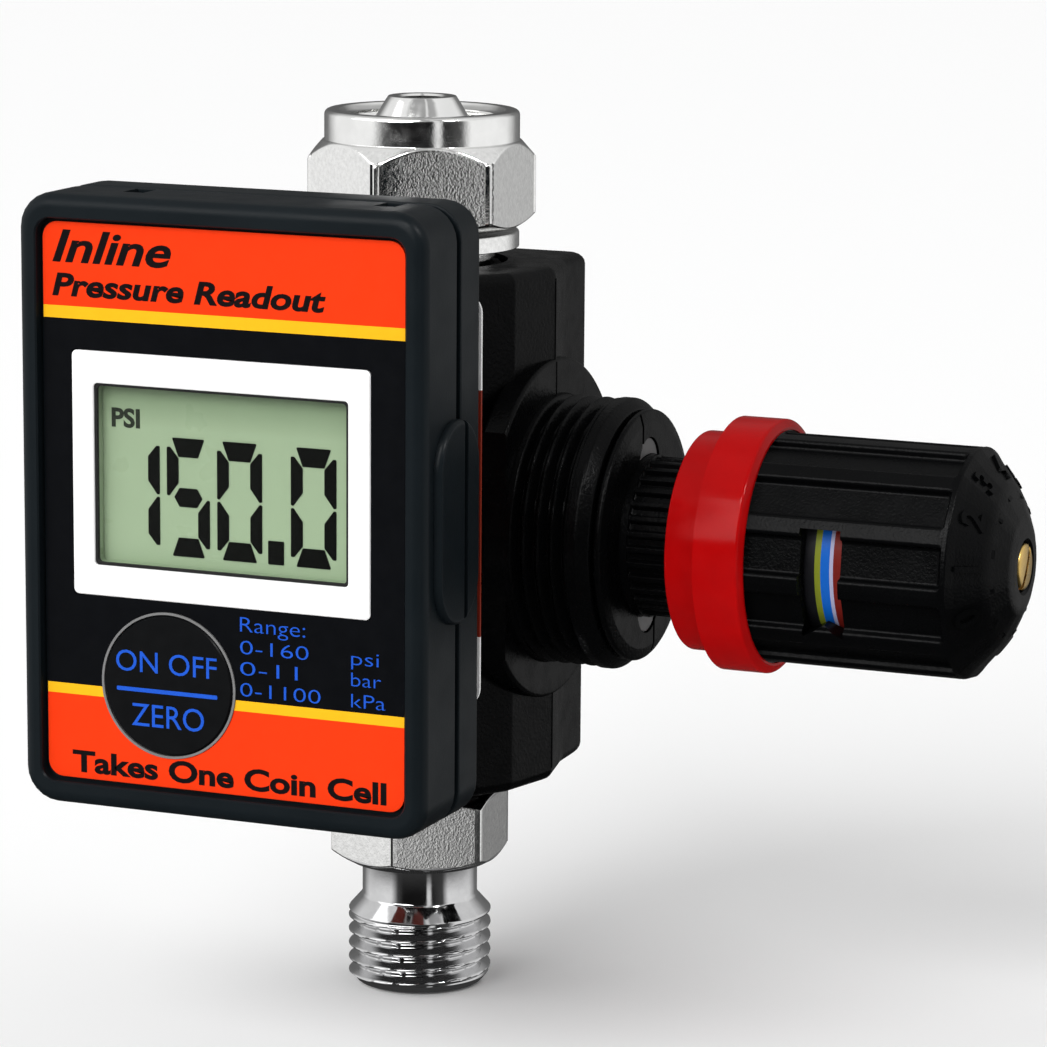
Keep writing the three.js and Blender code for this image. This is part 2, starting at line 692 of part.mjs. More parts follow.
function backShell() {
  const { seam, face } = BACK_Y;
  const lip = plate(inset(CASE.wall + 0.3), seam - 1.6, seam + 1);
  return caseOutside(seam, face)
    .add(gripPads(seam, GRIP_PAD.back + 1))
    .add(lip)
    .subtract(plate(inset(CASE.wall + 1.4), seam - 3, face - 1.5))
    .subtract(rod("y", 4.6, face - 3, face + 1, 24));
}

place("gauge_front_shell", frontShell(), "slate");
place("gauge_back_shell", backShell(), "slate");

const rearLabel = roundedRectangle(-CASE.halfX + 0.2, CASE.halfX - 0.2, 33.5, 68.5, 1.5);
const rearHole = rod("y", 5.6, -32, -26, 24);
place("rear_label", plate(rearLabel, BACK_Y.face + 0.1, BACK_Y.face + 0.6).subtract(rearHole), "white");

// ---------------------------------------------------------------- gauge face

function labelOverlay() {
  const { halfX, from, to, front, thick, corner } = LABEL;
  return plate(roundedRectangle(-halfX, halfX, from, to, corner), front, front + thick)
    .subtract(screenHole(0.1))
    .subtract(buttonHole());
}

place("label_overlay", labelOverlay(), "orange");

const frameBlank = block([BEZEL.left, BEZEL.right], [LABEL.front - 0.05, -39.4], [BEZEL.from, BEZEL.to]);
const frameHole = block([SCREEN.left, SCREEN.right], [-45, -35], [SCREEN.from, SCREEN.to]);
place("lcd_bezel", frameBlank.subtract(frameHole), "white");

const lensX = [SCREEN.left + 0.1, SCREEN.right - 0.1];
place("lcd_window", block(lensX, [-40.3, -39.5], [SCREEN.from + 0.1, SCREEN.to - 0.1]), "lens");
place("lcd_panel", block([-13.2, 12.7], [-39.2, -38], [43.6, 62.4]), "lcd");

const buttonProfile = [
  [0, -40.7],
  [BUTTON.radius - 0.2, -40.7],
  [BUTTON.radius, -40.5],
  [BUTTON.radius, -38.6],
  [6.9, -38.6],
  [6.9, -38.2],
  [0, -38.2],
];
const buttonCentre = [BUTTON.x, 0, BUTTON.z];
place("zero_button", turned("y", buttonProfile, ROUND, buttonCentre), "black");
place("tact_switch", block([BUTTON.x - 2.2, BUTTON.x + 2.2], [-37.5, -36.95], [33.2, 37.6]), "steel");

// ---------------------------------------------------------------- gauge electronics

place("circuit_board", plate(roundedRectangle(-15.7, 15.7, 28.5, 72.2, 2), -36.9, -36.1), "board");
const cell = rod("y", BATTERY.radius, BATTERY.front, BATTERY.back, ROUND, [0, 0, BATTERY.z]);
place("battery_cell", cell, "steel");

function batteryClip() {
  const reach = BATTERY.radius + 0.4;
  const outer = reach + 0.4;
  const outside = block([-2.5, 2.5], [-36.05, -32.25], [BATTERY.z - outer, BATTERY.z + outer]);
  const inside = block([-3, 3], [-37, -32.6], [BATTERY.z - reach, BATTERY.z + reach]);
  return outside.subtract(inside);
}

place("battery_clip", batteryClip(), "steel");

export default group;
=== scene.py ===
import json
import math

import bmesh
import bpy
from mathutils import Matrix, Vector


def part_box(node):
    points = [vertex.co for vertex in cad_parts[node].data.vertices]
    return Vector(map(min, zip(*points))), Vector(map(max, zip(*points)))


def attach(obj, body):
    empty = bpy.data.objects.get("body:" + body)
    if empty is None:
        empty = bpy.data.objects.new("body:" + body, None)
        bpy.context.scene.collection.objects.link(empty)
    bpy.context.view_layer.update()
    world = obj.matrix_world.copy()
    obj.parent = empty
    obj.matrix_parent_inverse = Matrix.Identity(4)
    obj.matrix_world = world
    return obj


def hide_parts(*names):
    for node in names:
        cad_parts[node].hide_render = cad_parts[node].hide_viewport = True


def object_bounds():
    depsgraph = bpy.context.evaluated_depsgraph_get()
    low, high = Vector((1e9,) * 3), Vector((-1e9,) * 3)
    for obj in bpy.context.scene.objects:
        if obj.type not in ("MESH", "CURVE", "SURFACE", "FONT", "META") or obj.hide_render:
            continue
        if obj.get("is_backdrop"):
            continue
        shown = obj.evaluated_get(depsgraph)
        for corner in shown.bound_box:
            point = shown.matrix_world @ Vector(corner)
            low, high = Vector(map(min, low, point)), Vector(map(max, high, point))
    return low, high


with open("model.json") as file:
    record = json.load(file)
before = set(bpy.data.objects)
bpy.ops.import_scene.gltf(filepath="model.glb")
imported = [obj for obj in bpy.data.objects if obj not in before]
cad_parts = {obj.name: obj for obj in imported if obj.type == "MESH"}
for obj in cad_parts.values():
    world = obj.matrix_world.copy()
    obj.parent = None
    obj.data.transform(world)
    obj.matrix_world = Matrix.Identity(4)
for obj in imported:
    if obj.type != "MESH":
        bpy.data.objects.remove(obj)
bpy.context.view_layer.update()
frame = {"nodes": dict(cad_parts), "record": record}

MM = 0.001
RECORD = frame["record"]
BODY_OF = {node: body for body, nodes in RECORD["behaviour"]["bodies"].items() for node in nodes}
SLOT_OF = {part["node"]: part["material_slot"] for part in RECORD["subparts"]}


def extent(node):
    """A CAD node's lowest and highest corners."""
    low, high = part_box(node)
    return low / MM, high / MM


X, Y, Z = 0, 1, 2
KNOB_Z = (extent("knob")[0][Z] + extent("knob")[1][Z]) / 2

# ---- driving dimensions

PITCH = 1.337  # 19 threads per inch
CREST_FLAT, FLANK = 0.1, 0.78  # shares of half a pitch: the crest's flat, and the slope after it
RUN_OUT = 0.5  # length over which a thread starts and ends
SIDES = 160  # of a turned piece
HEX_SIDES = 360
ARC_STEPS = 6  # in a rounded corner

PORT_THREAD = {"major": 6.58, "root": 5.78, "crest": 1.25, "from": 0.6, "to": 6.75}
BOSS_THREAD = {"major": 12.1, "root": 11.2, "crest": 14.45, "from": 13.6, "to": 19.2}
NUT_THREAD = {"major": 7.15, "root": 6.6, "crest": 75.0, "from": 74.2, "to": 80.2}

RIBS = {"count": 12, "turn": -8, "width": 1.8, "radius": 10.25, "floor": 9.35}
WINDOW = {"from": 39.9, "to": 43.6, "turn": -7.5, "half": 4.9}
POINTER = {"half": 1.75, "height": 1.0}  # the tooth that points at the scale
SPLINE = {"teeth": 32, "outer": 7.13, "root": 6.6}

CASE_EDGE = 1.15  # radius of the gauge case's front and back edges
CASE_EDGE_STEPS = 8
BODY_EDGE, BODY_EDGE_STEPS = 1.1, 5
PANEL_Y = -40.1  # floor of the label's recess
SEAM = {"front": extent("gauge_front_shell")[1][Y], "back": -34.0}
LABEL_LOW, LABEL_HIGH = extent("label_overlay")
LABEL_Y = LABEL_LOW[Y]
BANDS = {"bottom": 33.85, "low_line": 34.75, "high_line": 66.0, "top": 67.05}
PRINT = 0.03  # thickness of printed lettering

# ---- mesh kit


def rounded(corners, closed=False, steps=ARC_STEPS):
    """An outline through (x, y) corners. A third number rounds that corner off to this radius."""
    points = []
    last = len(corners) - 1
    for i, corner in enumerate(corners):
        here = Vector(corner[:2])
        if len(corner) < 3 or (not closed and i in (0, last)):
            points.append(here)
            continue
        before = Vector(corners[i - 1][:2]) - here
        after = Vector(corners[(i + 1) % len(corners)][:2]) - here
        half = before.angle(after) / 2
        reach = min(corner[2] / math.tan(half), 0.49 * before.length, 0.49 * after.length)
        before.normalize()
        after.normalize()
        centre = here + (before + after).normalized() * (reach / math.cos(half))
        start = here + before * reach - centre
        end = here + after * reach - centre
        sweep = start.angle(end)
        for k in range(steps + 1):
            share = k / steps
            a = math.sin((1 - share) * sweep) / math.sin(sweep)
            b = math.sin(share * sweep) / math.sin(sweep)
            points.append(centre + start * a + end * b)
    return points


def spot(axis, along, u, v, centre=(0, 0)):
    """A point along an axis, and (u, v) across it. The x and y axes run at the knob's height."""
    u, v = u + centre[0], v + centre[1]
    return {"x": (along, u, KNOB_Z + v), "y": (u, along, KNOB_Z + v), "z": (u, v, along)}[axis]


def placed(name, data):
    """A new object in the scene."""
    made = bpy.data.objects.new(name, data)
    bpy.context.scene.collection.objects.link(made)
    return made


def piece_from(name, bm):
    """A new object from a mesh made in millimetres, its faces turned outwards."""
    bmesh.ops.recalc_face_normals(bm, faces=bm.faces)
    bm.transform(Matrix.Scale(MM, 4))
    mesh = bpy.data.meshes.new(name)
    bm.to_mesh(mesh)
    bm.free()
    return placed(name, mesh)


def skin(name, rings, bored=False):
    """A closed surface over rings of points. Its ends are capped, or joined to each other if bored."""
    bm = bmesh.new()
    loops = [[bm.verts.new(point) for point in ring] for ring in rings]
    count = len(loops[0])
    spans = list(zip(loops, loops[1:]))
    if bored:
        spans.append((loops[-1], loops[0]))
    else:
        bm.faces.new(loops[0])
        bm.faces.new(loops[-1])
    for low, high in spans:
        for i in range(count):
            j = (i + 1) % count
            bm.faces.new((low[i], low[j], high[j], high[i]))
    return piece_from(name, bm)


def turned(name, axis, profile, sides=SIDES, bored=False, centre=(0, 0), limit=None):
    """A turned piece from (radius, along) pairs. limit(angle, radius, along) changes a point's radius."""
    rings = []
    for radius, along in profile:
        ring = []
        for k in range(sides):
            angle = 2 * math.pi * k / sides
            reach = limit(angle, radius, along) if limit else radius
            ring.append(spot(axis, along, reach * math.cos(angle), reach * math.sin(angle), centre))
        rings.append(ring)
    return skin(name, rings, bored)


def rod(name, axis, radius, start, end, sides=64, centre=(0, 0)):
    return turned(name, axis, [(radius, start), (radius, end)], sides, centre=centre)


def extruded(name, axis, outline, start, end):
    return drawn(name, axis, lambda gap: outline, [(0, start), (0, end)])


def drawn(name, axis, outline, stations, bored=False):
    """A closed loft along an axis, through outline(gap) at each (gap, along) station."""
    rings = [[spot(axis, along, u, v) for u, v in outline(gap)] for gap, along in stations]
    return skin(name, rings, bored)


def box(name, low, high):
    outline = [(low[0], low[1]), (high[0], low[1]), (high[0], high[1]), (low[0], high[1])]
    return extruded(name, "z", outline, low[2], high[2])


def rectangle(left, right, bottom, top, corner):
    sides = [(right, bottom), (right, top), (left, top), (left, bottom)]
    return rounded([(*side, corner) for side in sides], closed=True)


def rows(radius, start, end, count):
    """Evenly spaced profile points, close enough together to carry a thread."""
    return slope((radius, start), (radius, end), count)


def slope(start, end, count):
    """Evenly spaced profile points between two (radius, along) places."""
    return [tuple(a + (b - a) * k / count for a, b in zip(start, end)) for k in range(count + 1)]


def baked(piece):
    """The piece with its modifiers applied."""
    graph = bpy.context.evaluated_depsgraph_get()
    piece.data = bpy.data.meshes.new_from_object(piece.evaluated_get(graph))
    piece.modifiers.clear()
    return piece


def carved(piece, tools, operation="DIFFERENCE"):
    for tool in tools:
        cut = piece.modifiers.new("cut", "BOOLEAN")
        cut.object = tool
        cut.operation = operation
        cut.solver = "EXACT"
    baked(piece)
    for tool in tools:
        bpy.data.objects.remove(tool)
    return piece


def with_extras(piece, extras):
    """Closed shells that belong to one piece, as one mesh."""
    bm = bmesh.new()
    bm.from_mesh(piece.data)
    for extra in extras:
        bm.from_mesh(extra.data)
        bpy.data.objects.remove(extra)
    bm.to_mesh(piece.data)
    bm.free()
    return piece


def softened(piece, width, angle=40):
    """Rounds off the piece's edges that are sharper than an angle, in degrees."""
    bevel = piece.modifiers.new("edges", "BEVEL")
    bevel.width = width * MM
    bevel.segments = 3
    bevel.limit_method = "ANGLE"
    bevel.angle_limit = math.radians(angle)
    bevel.use_clamp_overlap = True
    return baked(piece)


def shown(piece, finish, node, replaces=(), angle=38):
    """Gives a piece its finish, smooth shading and the body of the CAD node that it belongs to, and hides
    the nodes that it replaces.
    """
    finishes = finish if isinstance(finish, list) else [finish]
    for each in finishes:
        piece.data.materials.append(each)
    piece.data.shade_smooth()
    piece.data.set_sharp_from_angle(angle=math.radians(angle))
    even = piece.modifiers.new("even_shading", "WEIGHTED_NORMAL")
    even.keep_sharp = True
    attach(piece, BODY_OF[node])
    if replaces:
        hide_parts(*replaces)
    return piece


REPLACED = []


def stands_for(node, piece, finish, angle=38):
    """Shows a piece in the place of a whole CAD node."""
    REPLACED.append(node)
    return shown(piece, finish, node, (node,), angle)


# ---- thread and hexagon shapes


def ramp(value, start, end):
    """0 below start, 1 above end, and smooth between."""
    share = min(max((value - start) / (end - start), 0), 1)
    return share * share * (3 - 2 * share)


def lower_of(a, b, blend):
    """The smaller of two numbers, with the change from one to the other rounded off."""
    share = min(max(0.5 + 0.5 * (b - a) / blend, 0), 1)
    return b + (a - b) * share - blend * share * (1 - share)


def thread_depth(thread, angle, along):
    """How far a right-hand thread's groove goes below its crests: 0 at a crest and 1 in the root."""
    turn = (along - thread["crest"]) / PITCH - angle / (2 * math.pi)
    share = abs(turn - round(turn)) * 2
    begun = ramp(along, thread["from"], thread["from"] + RUN_OUT)
    ended = ramp(along, thread["to"] - RUN_OUT, thread["to"])
    return min(max((share - CREST_FLAT) / FLANK, 0), 1) * begun * (1 - ended)


def threaded(thread):
    """Keeps a turned profile inside an outside thread."""
    depth = thread["major"] - thread["root"]

    def limit(angle, radius, along):
        if not thread["from"] <= along <= thread["to"]:
            return radius
        return min(radius, thread["major"] - depth * thread_depth(thread, angle, along))

    return limit


def tapped(thread):
    """Opens a turned profile out to an inside thread, where it already has the thread's root radius."""
    depth = thread["major"] - thread["root"]

    def limit(angle, radius, along):
        if abs(radius - thread["root"]) > 0.001 or not thread["from"] <= along <= thread["to"]:
            return radius
        return thread["root"] + depth * thread_depth(thread, angle, along)

    return limit


def hexagon(across, corner, turn):
    """The radius of a hexagon with rounded corners, as a function of the angle."""
    flat = across / 2
    inner = (flat - corner) / math.cos(math.pi / 6)

    def radius(angle):
        off = (angle - math.radians(turn) + math.pi / 6) % (math.pi / 3) - math.pi / 6
        side = flat / math.cos(math.pi / 6 - abs(off))
        reach = corner * corner - (inner * math.sin(off)) ** 2
        tip = inner * math.cos(off) + math.sqrt(reach) if reach > 0 else side
        return min(side, tip)

    return radius


def hex_limited(sizes, blend=0.12, depth=1.2):
    """Keeps a turned profile inside a hexagon, between two places along the axis.

    It leaves alone what lies further than depth inside the flats.
    """
    outline = hexagon(sizes["across"], sizes["corner"], sizes["turn"])

    def limit(angle, radius, along):
        if radius < sizes["across"] / 2 - depth or not sizes["from"] <= along <= sizes["to"]:
            return radius
        return lower_of(radius, outline(angle), blend)

    return limit


def within(*limits):
    """All of several limits on a turned profile, one after another."""

    def limit(angle, radius, along):
        for each in limits:
            radius = each(angle, radius, along)
        return radius

    return limit


def blast(piece, band, inside, outside):
    """Gives the outer faces in a band of heights one material of the piece, and its other faces another."""
    for face in piece.data.polygons:
        reach = math.hypot(face.center.x, face.center.y) / MM
        chosen = reach > band["radius"] and band["from"] < face.center.z / MM < band["to"]
        face.material_index = inside if chosen else outside


def about_knob(piece, degrees):
    """Turns a piece about the knob's axis, so that what faced -Y now faces this far up from it."""
    centre = Matrix.Translation((0, 0, KNOB_Z * MM))
    piece.data.transform(centre @ Matrix.Rotation(-math.radians(degrees), 4, "X") @ centre.inverted())
    return piece


# ---- finishes


class Graph:
    """The node tree of a material or a world."""

    def __init__(self, owner):
        owner.use_nodes = True
        self.tree = owner.node_tree
        self.tree.nodes.clear()

    def node(self, kind, inputs=None, **settings):
        """A new node. Each of its inputs takes a value, or another node's output."""
        made = self.tree.nodes.new(kind)
        for key, value in settings.items():
            setattr(made, key, value)
        for key, value in (inputs or {}).items():
            if isinstance(value, bpy.types.NodeSocket):
                self.tree.links.new(value, made.inputs[key])
            else:
                made.inputs[key].default_value = value
        return made

    def spread(self, value, low, high, start=0.3, end=0.7, interpolation="LINEAR"):
        """A value's range from start to end, carried over to low..high."""
        inputs = {"From Min": start, "From Max": end, "To Min": low, "To Max": high, "Value": value}
        return self.node("ShaderNodeMapRange", inputs, interpolation_type=interpolation).outputs["Result"]

    def mixed(self, share, first, second):
        """Two colours mixed: the first alone where the share is 0, and the second alone where it is 1."""
        inputs = {"A": first, "B": second, "Factor": share}
        return self.node("ShaderNodeMix", inputs, data_type="RGBA").outputs["Result"]

    def ramped(self, share, stops, interpolation="LINEAR"):
        """Colours that follow a share, through (position, colour) stops."""
        made = self.node("ShaderNodeValToRGB", {"Fac": share})
        colours = made.color_ramp
        colours.interpolation = interpolation
        while len(colours.elements) < len(stops):
            colours.elements.new(0.5)
        for element, (position, colour) in zip(colours.elements, stops):
            element.position = position
            element.color = (*colour, 1)
        return made.outputs["Color"]


class Finish(Graph):
    """A procedural material, in each piece's own space. Sizes and depths are in millimetres."""

    def __init__(self, name, colour, roughness, metallic=0.0, specular=0.5, ior=1.5):
        self.material = bpy.data.materials.new(name)
        super().__init__(self.material)
        self.colour = colour
        self.roughness = roughness
        self.place = self.node("ShaderNodeTexCoord").outputs["Object"]
        look = {
            "Base Color": (*colour, 1),
            "Roughness": roughness,
            "Metallic": metallic,
            "Specular IOR Level": specular,
            "IOR": ior,
        }
        self.surface = self.node("ShaderNodeBsdfPrincipled", look)
        self.output = self.node("ShaderNodeOutputMaterial", {"Surface": self.surface.outputs[0]})
        self.normal = None

    def driven(self, key, source):
        """Lets a node's output set one of the surface's values."""
        self.tree.links.new(source, self.surface.inputs[key])
        return self

    def noise(self, size, detail=3.0):
        inputs = {"Scale": 1 / (size * MM), "Detail": detail, "Roughness": 0.55, "Vector": self.place}
        return self.node("ShaderNodeTexNoise", inputs).outputs["Fac"]

    def raised(self, height, depth):
        """A relief, on top of those that the finish already has."""
        inputs = {"Distance": depth * MM, "Height": height}
        if self.normal:
            inputs["Normal"] = self.normal
        self.normal = self.node("ShaderNodeBump", inputs).outputs["Normal"]
        return self.driven("Normal", self.normal)

    def grain(self, size, depth, detail=3.0):
        """An all-over moulded or blasted texture."""
        return self.raised(self.noise(size, detail), depth)

    def lines(self, axis, spacing, depth):
        """Fine turned or drawn lines across an axis."""
        scale = math.pi / 10 / (spacing * MM)
        inputs = {"Scale": scale, "Distortion": 1.5, "Detail Scale": 2, "Vector": self.place}
        wave = self.node("ShaderNodeTexWave", inputs, bands_direction=axis)
        return self.raised(wave.outputs["Fac"], depth)

    def mottle(self, size, amount):
        """Slightly lighter and darker patches."""
        darker = (*(c * (1 - amount) for c in self.colour), 1)
        lighter = (*(min(c * (1 + amount), 1) for c in self.colour), 1)
        return self.driven("Base Color", self.mixed(self.spread(self.noise(size), 0, 1), darker, lighter))

    def polish(self, size, amount):
        """Duller and brighter patches."""
        low, high = max(self.roughness - amount, 0.02), min(self.roughness + amount, 1)
        return self.driven("Roughness", self.spread(self.noise(size), low, high))

    def along(self, axis, start, end, stops, interpolation="LINEAR"):
        """Colours that follow one of the object's axes, from start to end in millimetres."""
        parts = self.node("ShaderNodeSeparateXYZ", {0: self.place})
        share = self.spread(parts.outputs[axis], 0, 1, start * MM, end * MM)
        shares = [((place - start) / (end - start), colour) for place, colour in stops]
        return self.driven("Base Color", self.ramped(share, shares, interpolation))


def textured(name, colour, roughness, mottle, polish, grain, **more):
    """A finish with patches of tone and of gloss and a grain: each is its size and its strength."""
    finish = Finish(name, colour, roughness, **more).mottle(*mottle)
    if polish:
        finish.polish(*polish)
    return finish.grain(*grain).material


def plain(name, colour, roughness, amount=0.06, **more):
    """A smooth finish with faint patches and a fine grain."""
    return textured(name, colour, roughness, (1.2, amount), (2.4, 0.05), (0.5, 0.004), **more)


def srgb(*levels):
    """A colour given in display levels, each above 10 out of 255."""
    return tuple(((level / 255 + 0.055) / 1.055) ** 2.4 for level in levels)


JET = (0.0016, 0.0017, 0.0019)
BLACK = textured("black_plastic", JET, 0.25, (6, 0.12), (3, 0.08), (0.24, 0.035), specular=0.45, ior=1.15)
BLACK_ROUGH = textured(
    "black_cast_plastic", JET, 0.27, (5, 0.12), (2, 0.08), (0.3, 0.045), specular=0.4, ior=1.15
)
SLATE = textured(
    "slate_plastic", (0.0058, 0.0086, 0.0106), 0.36, (8, 0.08), (4, 0.05), (0.22, 0.008), ior=1.17
)
RED = Finish("red_plastic", (0.38, 0.002, 0.0025), 0.16, specular=0.3, ior=1.2)
RED = RED.mottle(3, 0.06).polish(2, 0.05).lines("X", 0.3, 0.0012).grain(0.6, 0.004).material
GREY = textured("grey_plastic", (0.13, 0.13, 0.132), 0.5, (1, 0.1), None, (0.2, 0.01))
RUBBER = textured("seal_rubber", (0.012, 0.012, 0.012), 0.8, (2, 0.1), None, (0.15, 0.01), specular=0.2)
BOARD = textured("circuit_board", srgb(28, 100, 56), 0.45, (2, 0.1), None, (0.4, 0.006))


def metal(*settings):
    return textured(*settings, metallic=1.0)


CHROME = metal("nickel_polished", (0.86, 0.86, 0.85), 0.1, (2, 0.03), (1.5, 0.05), (0.6, 0.003))
NICKEL = metal("nickel_turned", (0.82, 0.82, 0.81), 0.13, (2, 0.05), (1, 0.05), (0.35, 0.006))
NICKEL_DARK = metal("nickel_thread", (0.60, 0.60, 0.605), 0.08, (1.5, 0.06), (1, 0.04), (0.5, 0.002))
BLASTED = metal("nickel_blasted", (0.80, 0.80, 0.79), 0.13, (0.4, 0.08), (0.5, 0.08), (0.2, 0.012, 2.0))
BRASS = metal("brass", (0.62, 0.42, 0.13), 0.3, (1, 0.08), (0.8, 0.08), (0.3, 0.004))
STEEL = metal("spring_steel", (0.42, 0.43, 0.44), 0.32, (1, 0.08), (0.8, 0.06), (0.2, 0.003))

ORANGE = plain("label_orange", (0.78, 0.036, 0.003), 0.42, amount=0.02, specular=0.06)
YELLOW = plain("label_yellow", (0.80, 0.42, 0.01), 0.42, amount=0.02, specular=0.06)
INK_FIELD = plain("label_black", (0.0022, 0.0026, 0.0036), 0.34, amount=0.1, specular=0.06)
WHITE = plain("white_plastic", (0.86, 0.86, 0.86), 0.45, amount=0.015, specular=0.3)
KEY = plain("button_plastic", (0.0032, 0.0035, 0.004), 0.36, amount=0.1, specular=0.08)
KEY_RING = plain("button_edge", (0.16, 0.16, 0.16), 0.4)
INK_DARK = plain("print_black", (0.006, 0.0045, 0.005), 0.45, amount=0.1, specular=0.04)
INK_BLUE = plain("print_blue", (0.010, 0.082, 0.52), 0.45, amount=0.05, specular=0.1)
SEGMENT = plain("lcd_segment", (0.0015, 0.002, 0.0014), 0.4, amount=0.1, specular=0.03)
PSI_INK = plain("lcd_small_text", (0.02, 0.026, 0.018), 0.4, amount=0.1, specular=0.03)
MAROON = plain("label_maroon", (0.22, 0.022, 0.01), 0.4, amount=0.06, specular=0.1)
# Painted shade: the screen's colour darkens towards its top edge, where the frame's shadow falls.
LCD_PAINTED_SHADE_TONES = [
    (45, srgb(146, 166, 135)),
    (57, srgb(142, 161, 131)),
    (59.3, srgb(118, 137, 108)),
    (61.2, srgb(92, 110, 84)),
]
LCD_WITH_PAINTED_SHADE = Finish("lcd_glass_painted_shade", srgb(152, 172, 142), 0.3, specular=0.2).along("Z", 44, 62.5, LCD_PAINTED_SHADE_TONES)
LCD_WITH_PAINTED_SHADE = LCD_WITH_PAINTED_SHADE.polish(5, 0.04).grain(0.4, 0.002).material

YELLOW_GREEN, BLUE = (0.17, 0.20, 0.015), (0.004, 0.10, 0.45)
PALE, RED_BROWN = (0.35, 0.35, 0.5), (0.16, 0.012, 0.008)
DARK = (0.01, 0.01, 0.012)
BANDS_AT = [(31, DARK), (40.7, YELLOW_GREEN), (41.25, BLUE), (42.1, PALE), (42.4, RED_BROWN), (43.3, DARK)]
SCALE = Finish("scale_bands", DARK, 0.4, specular=0.1).along("X", 31, 45, BANDS_AT, "CONSTANT")
SCALE = SCALE.polish(1, 0.08).grain(0.3, 0.005).material


def clear_lens():
    """A clear pane: it shows what lies behind it, and its outer side reflects more at a glancing angle."""
    lens = Finish("clear_lens", (1, 1, 1), 0.05)
    clear = lens.node("ShaderNodeBsdfTransparent")
    look = {"Color": (1, 1, 1, 1), "Roughness": lens.spread(lens.noise(3), 0.03, 0.08)}
    gloss = lens.node("ShaderNodeBsdfAnisotropic", look)
    facing = lens.node("ShaderNodeFresnel", {"IOR": 1.25})
    inner_side = lens.node("ShaderNodeNewGeometry").outputs["Backfacing"]
    outer_side = lens.node("ShaderNodeMath", {0: 1, 1: inner_side}, operation="SUBTRACT")
    both = {0: facing.outputs[0], 1: outer_side.outputs[0]}
    shine = lens.node("ShaderNodeMath", both, operation="MULTIPLY")
    parts = {0: shine.outputs[0], 1: clear.outputs[0], 2: gloss.outputs[0]}
    mix = lens.node("ShaderNodeMixShader", parts)
    lens.tree.links.new(mix.outputs[0], lens.output.inputs["Surface"])
    lens.tree.nodes.remove(lens.surface)
    return lens.material


LENS = clear_lens()

# ---- inlet fitting

INLET_BORE = 3.5
INLET_HEX = {"across": 14.5, "corner": 0.25, "turn": -84.4, "from": 11.4, "to": 18.5}
BLASTED_FLATS = {"from": 12.2, "to": 17.8, "radius": 7}  # the inlet's hexagon, less its bevels
inlet_profile = rounded([(INLET_BORE, 30.7), (INLET_BORE, 0.4), (3.9, 0), (5.8, 0, 0.25), (6.4, 0.72)])
inlet_profile += rows(PORT_THREAD["major"], 0.76, 6.7, 76)
inlet_profile += rounded([(6.5, 6.8), (5.3, 8.15, 0.6), (5.3, 11.5, 0.25), (6.4, 11.5)])
inlet_profile += slope((6.6, 11.52), (8.5, 12.6), 16) + rows(8.5, 12.8, 17.1, 4)
inlet_profile += slope((8.5, 17.3), (6.8, 18.35), 16)
inlet_profile += [(6.75, 18.4), (6.75, 19.8), (5.7, 19.8), (5.7, 30.7)]
inlet_limits = within(threaded(PORT_THREAD), hex_limited(INLET_HEX))
inlet = turned("inlet_fitting_fine", "z", inlet_profile, HEX_SIDES, True, limit=inlet_limits)
blast(inlet, BLASTED_FLATS, inside=1, outside=0)
stands_for("inlet_fitting", inlet, [NICKEL_DARK, BLASTED], 50)

# ---- regulator body


def body_outline(gap):
    right = [(8, -11.5), (11.7, -6), (13.15, 0), (11.8, 6), (11.5, 11.5)]
    corners = [Vector(corner) for corner in right + [(-x, y) for x, y in reversed(right)]]
    count = len(corners)
    inner = []
    for i in range(count):
        to_next = (corners[(i + 1) % count] - corners[i]).normalized()
        to_here = (corners[i] - corners[i - 1]).normalized()
        inward = Vector((-to_here.y, to_here.x)) + Vector((-to_next.y, to_next.x))
        share = 1 + to_here.dot(to_next)
        inner.append((*(corners[i] + inward * gap / share), 0.8))
    return rounded(inner, closed=True, steps=4)


def loft(name, outline, start, end, edge):
    """A prism up z whose outline(gap) draws in at both ends, for rounded edges."""
    turns = [math.pi / 2 * k / BODY_EDGE_STEPS for k in range(BODY_EDGE_STEPS + 1)]
    low = [(edge * (1 - math.sin(turn)), start + edge * (1 - math.cos(turn))) for turn in turns]
    stations = low + [(gap, start + end - z) for gap, z in reversed(low)]
    return drawn(name, "z", outline, stations)


BODY_LOW, BODY_HIGH = extent("regulator_body")
body = loft("regulator_body_fine", body_outline, BODY_LOW[Z], BODY_HIGH[Z], BODY_EDGE)
DISC = {"radius": 15.4, "from": 11, "to": 13.3, "clip": 11.45}
disc_corners = [(DISC["radius"], DISC["from"], 0.3), (DISC["radius"], DISC["to"], 0.35)]
disc_profile = rounded([(14.6, DISC["from"]), *disc_corners, (14.6, DISC["to"])])
disc = turned("disc", "x", disc_profile, 200)
clip = box("clip", (5, -DISC["clip"], 20), (20, DISC["clip"], 70))
disc = softened(carved(disc, [clip], "INTERSECT"), 0.25, 60)
boss_profile = [(12.2, 11.5), (12.2, 13.3)] + rounded([(12.2, 13.4), (12.1, 13.62)])
boss_profile += rows(BOSS_THREAD["major"], 13.65, 19.15, 70)
boss_profile += rounded([(12.2, 19.25), (12.2, 20.1, 0.5), (11.35, 21.1, 0.4), (10.4, 21.1)])
boss = turned("boss", "x", boss_profile, 200, limit=threaded(BOSS_THREAD))
gauge_boss = rod("gauge_boss", "y", 7, -17.3, -9)
body = carved(body, [disc, boss, gauge_boss], "UNION")
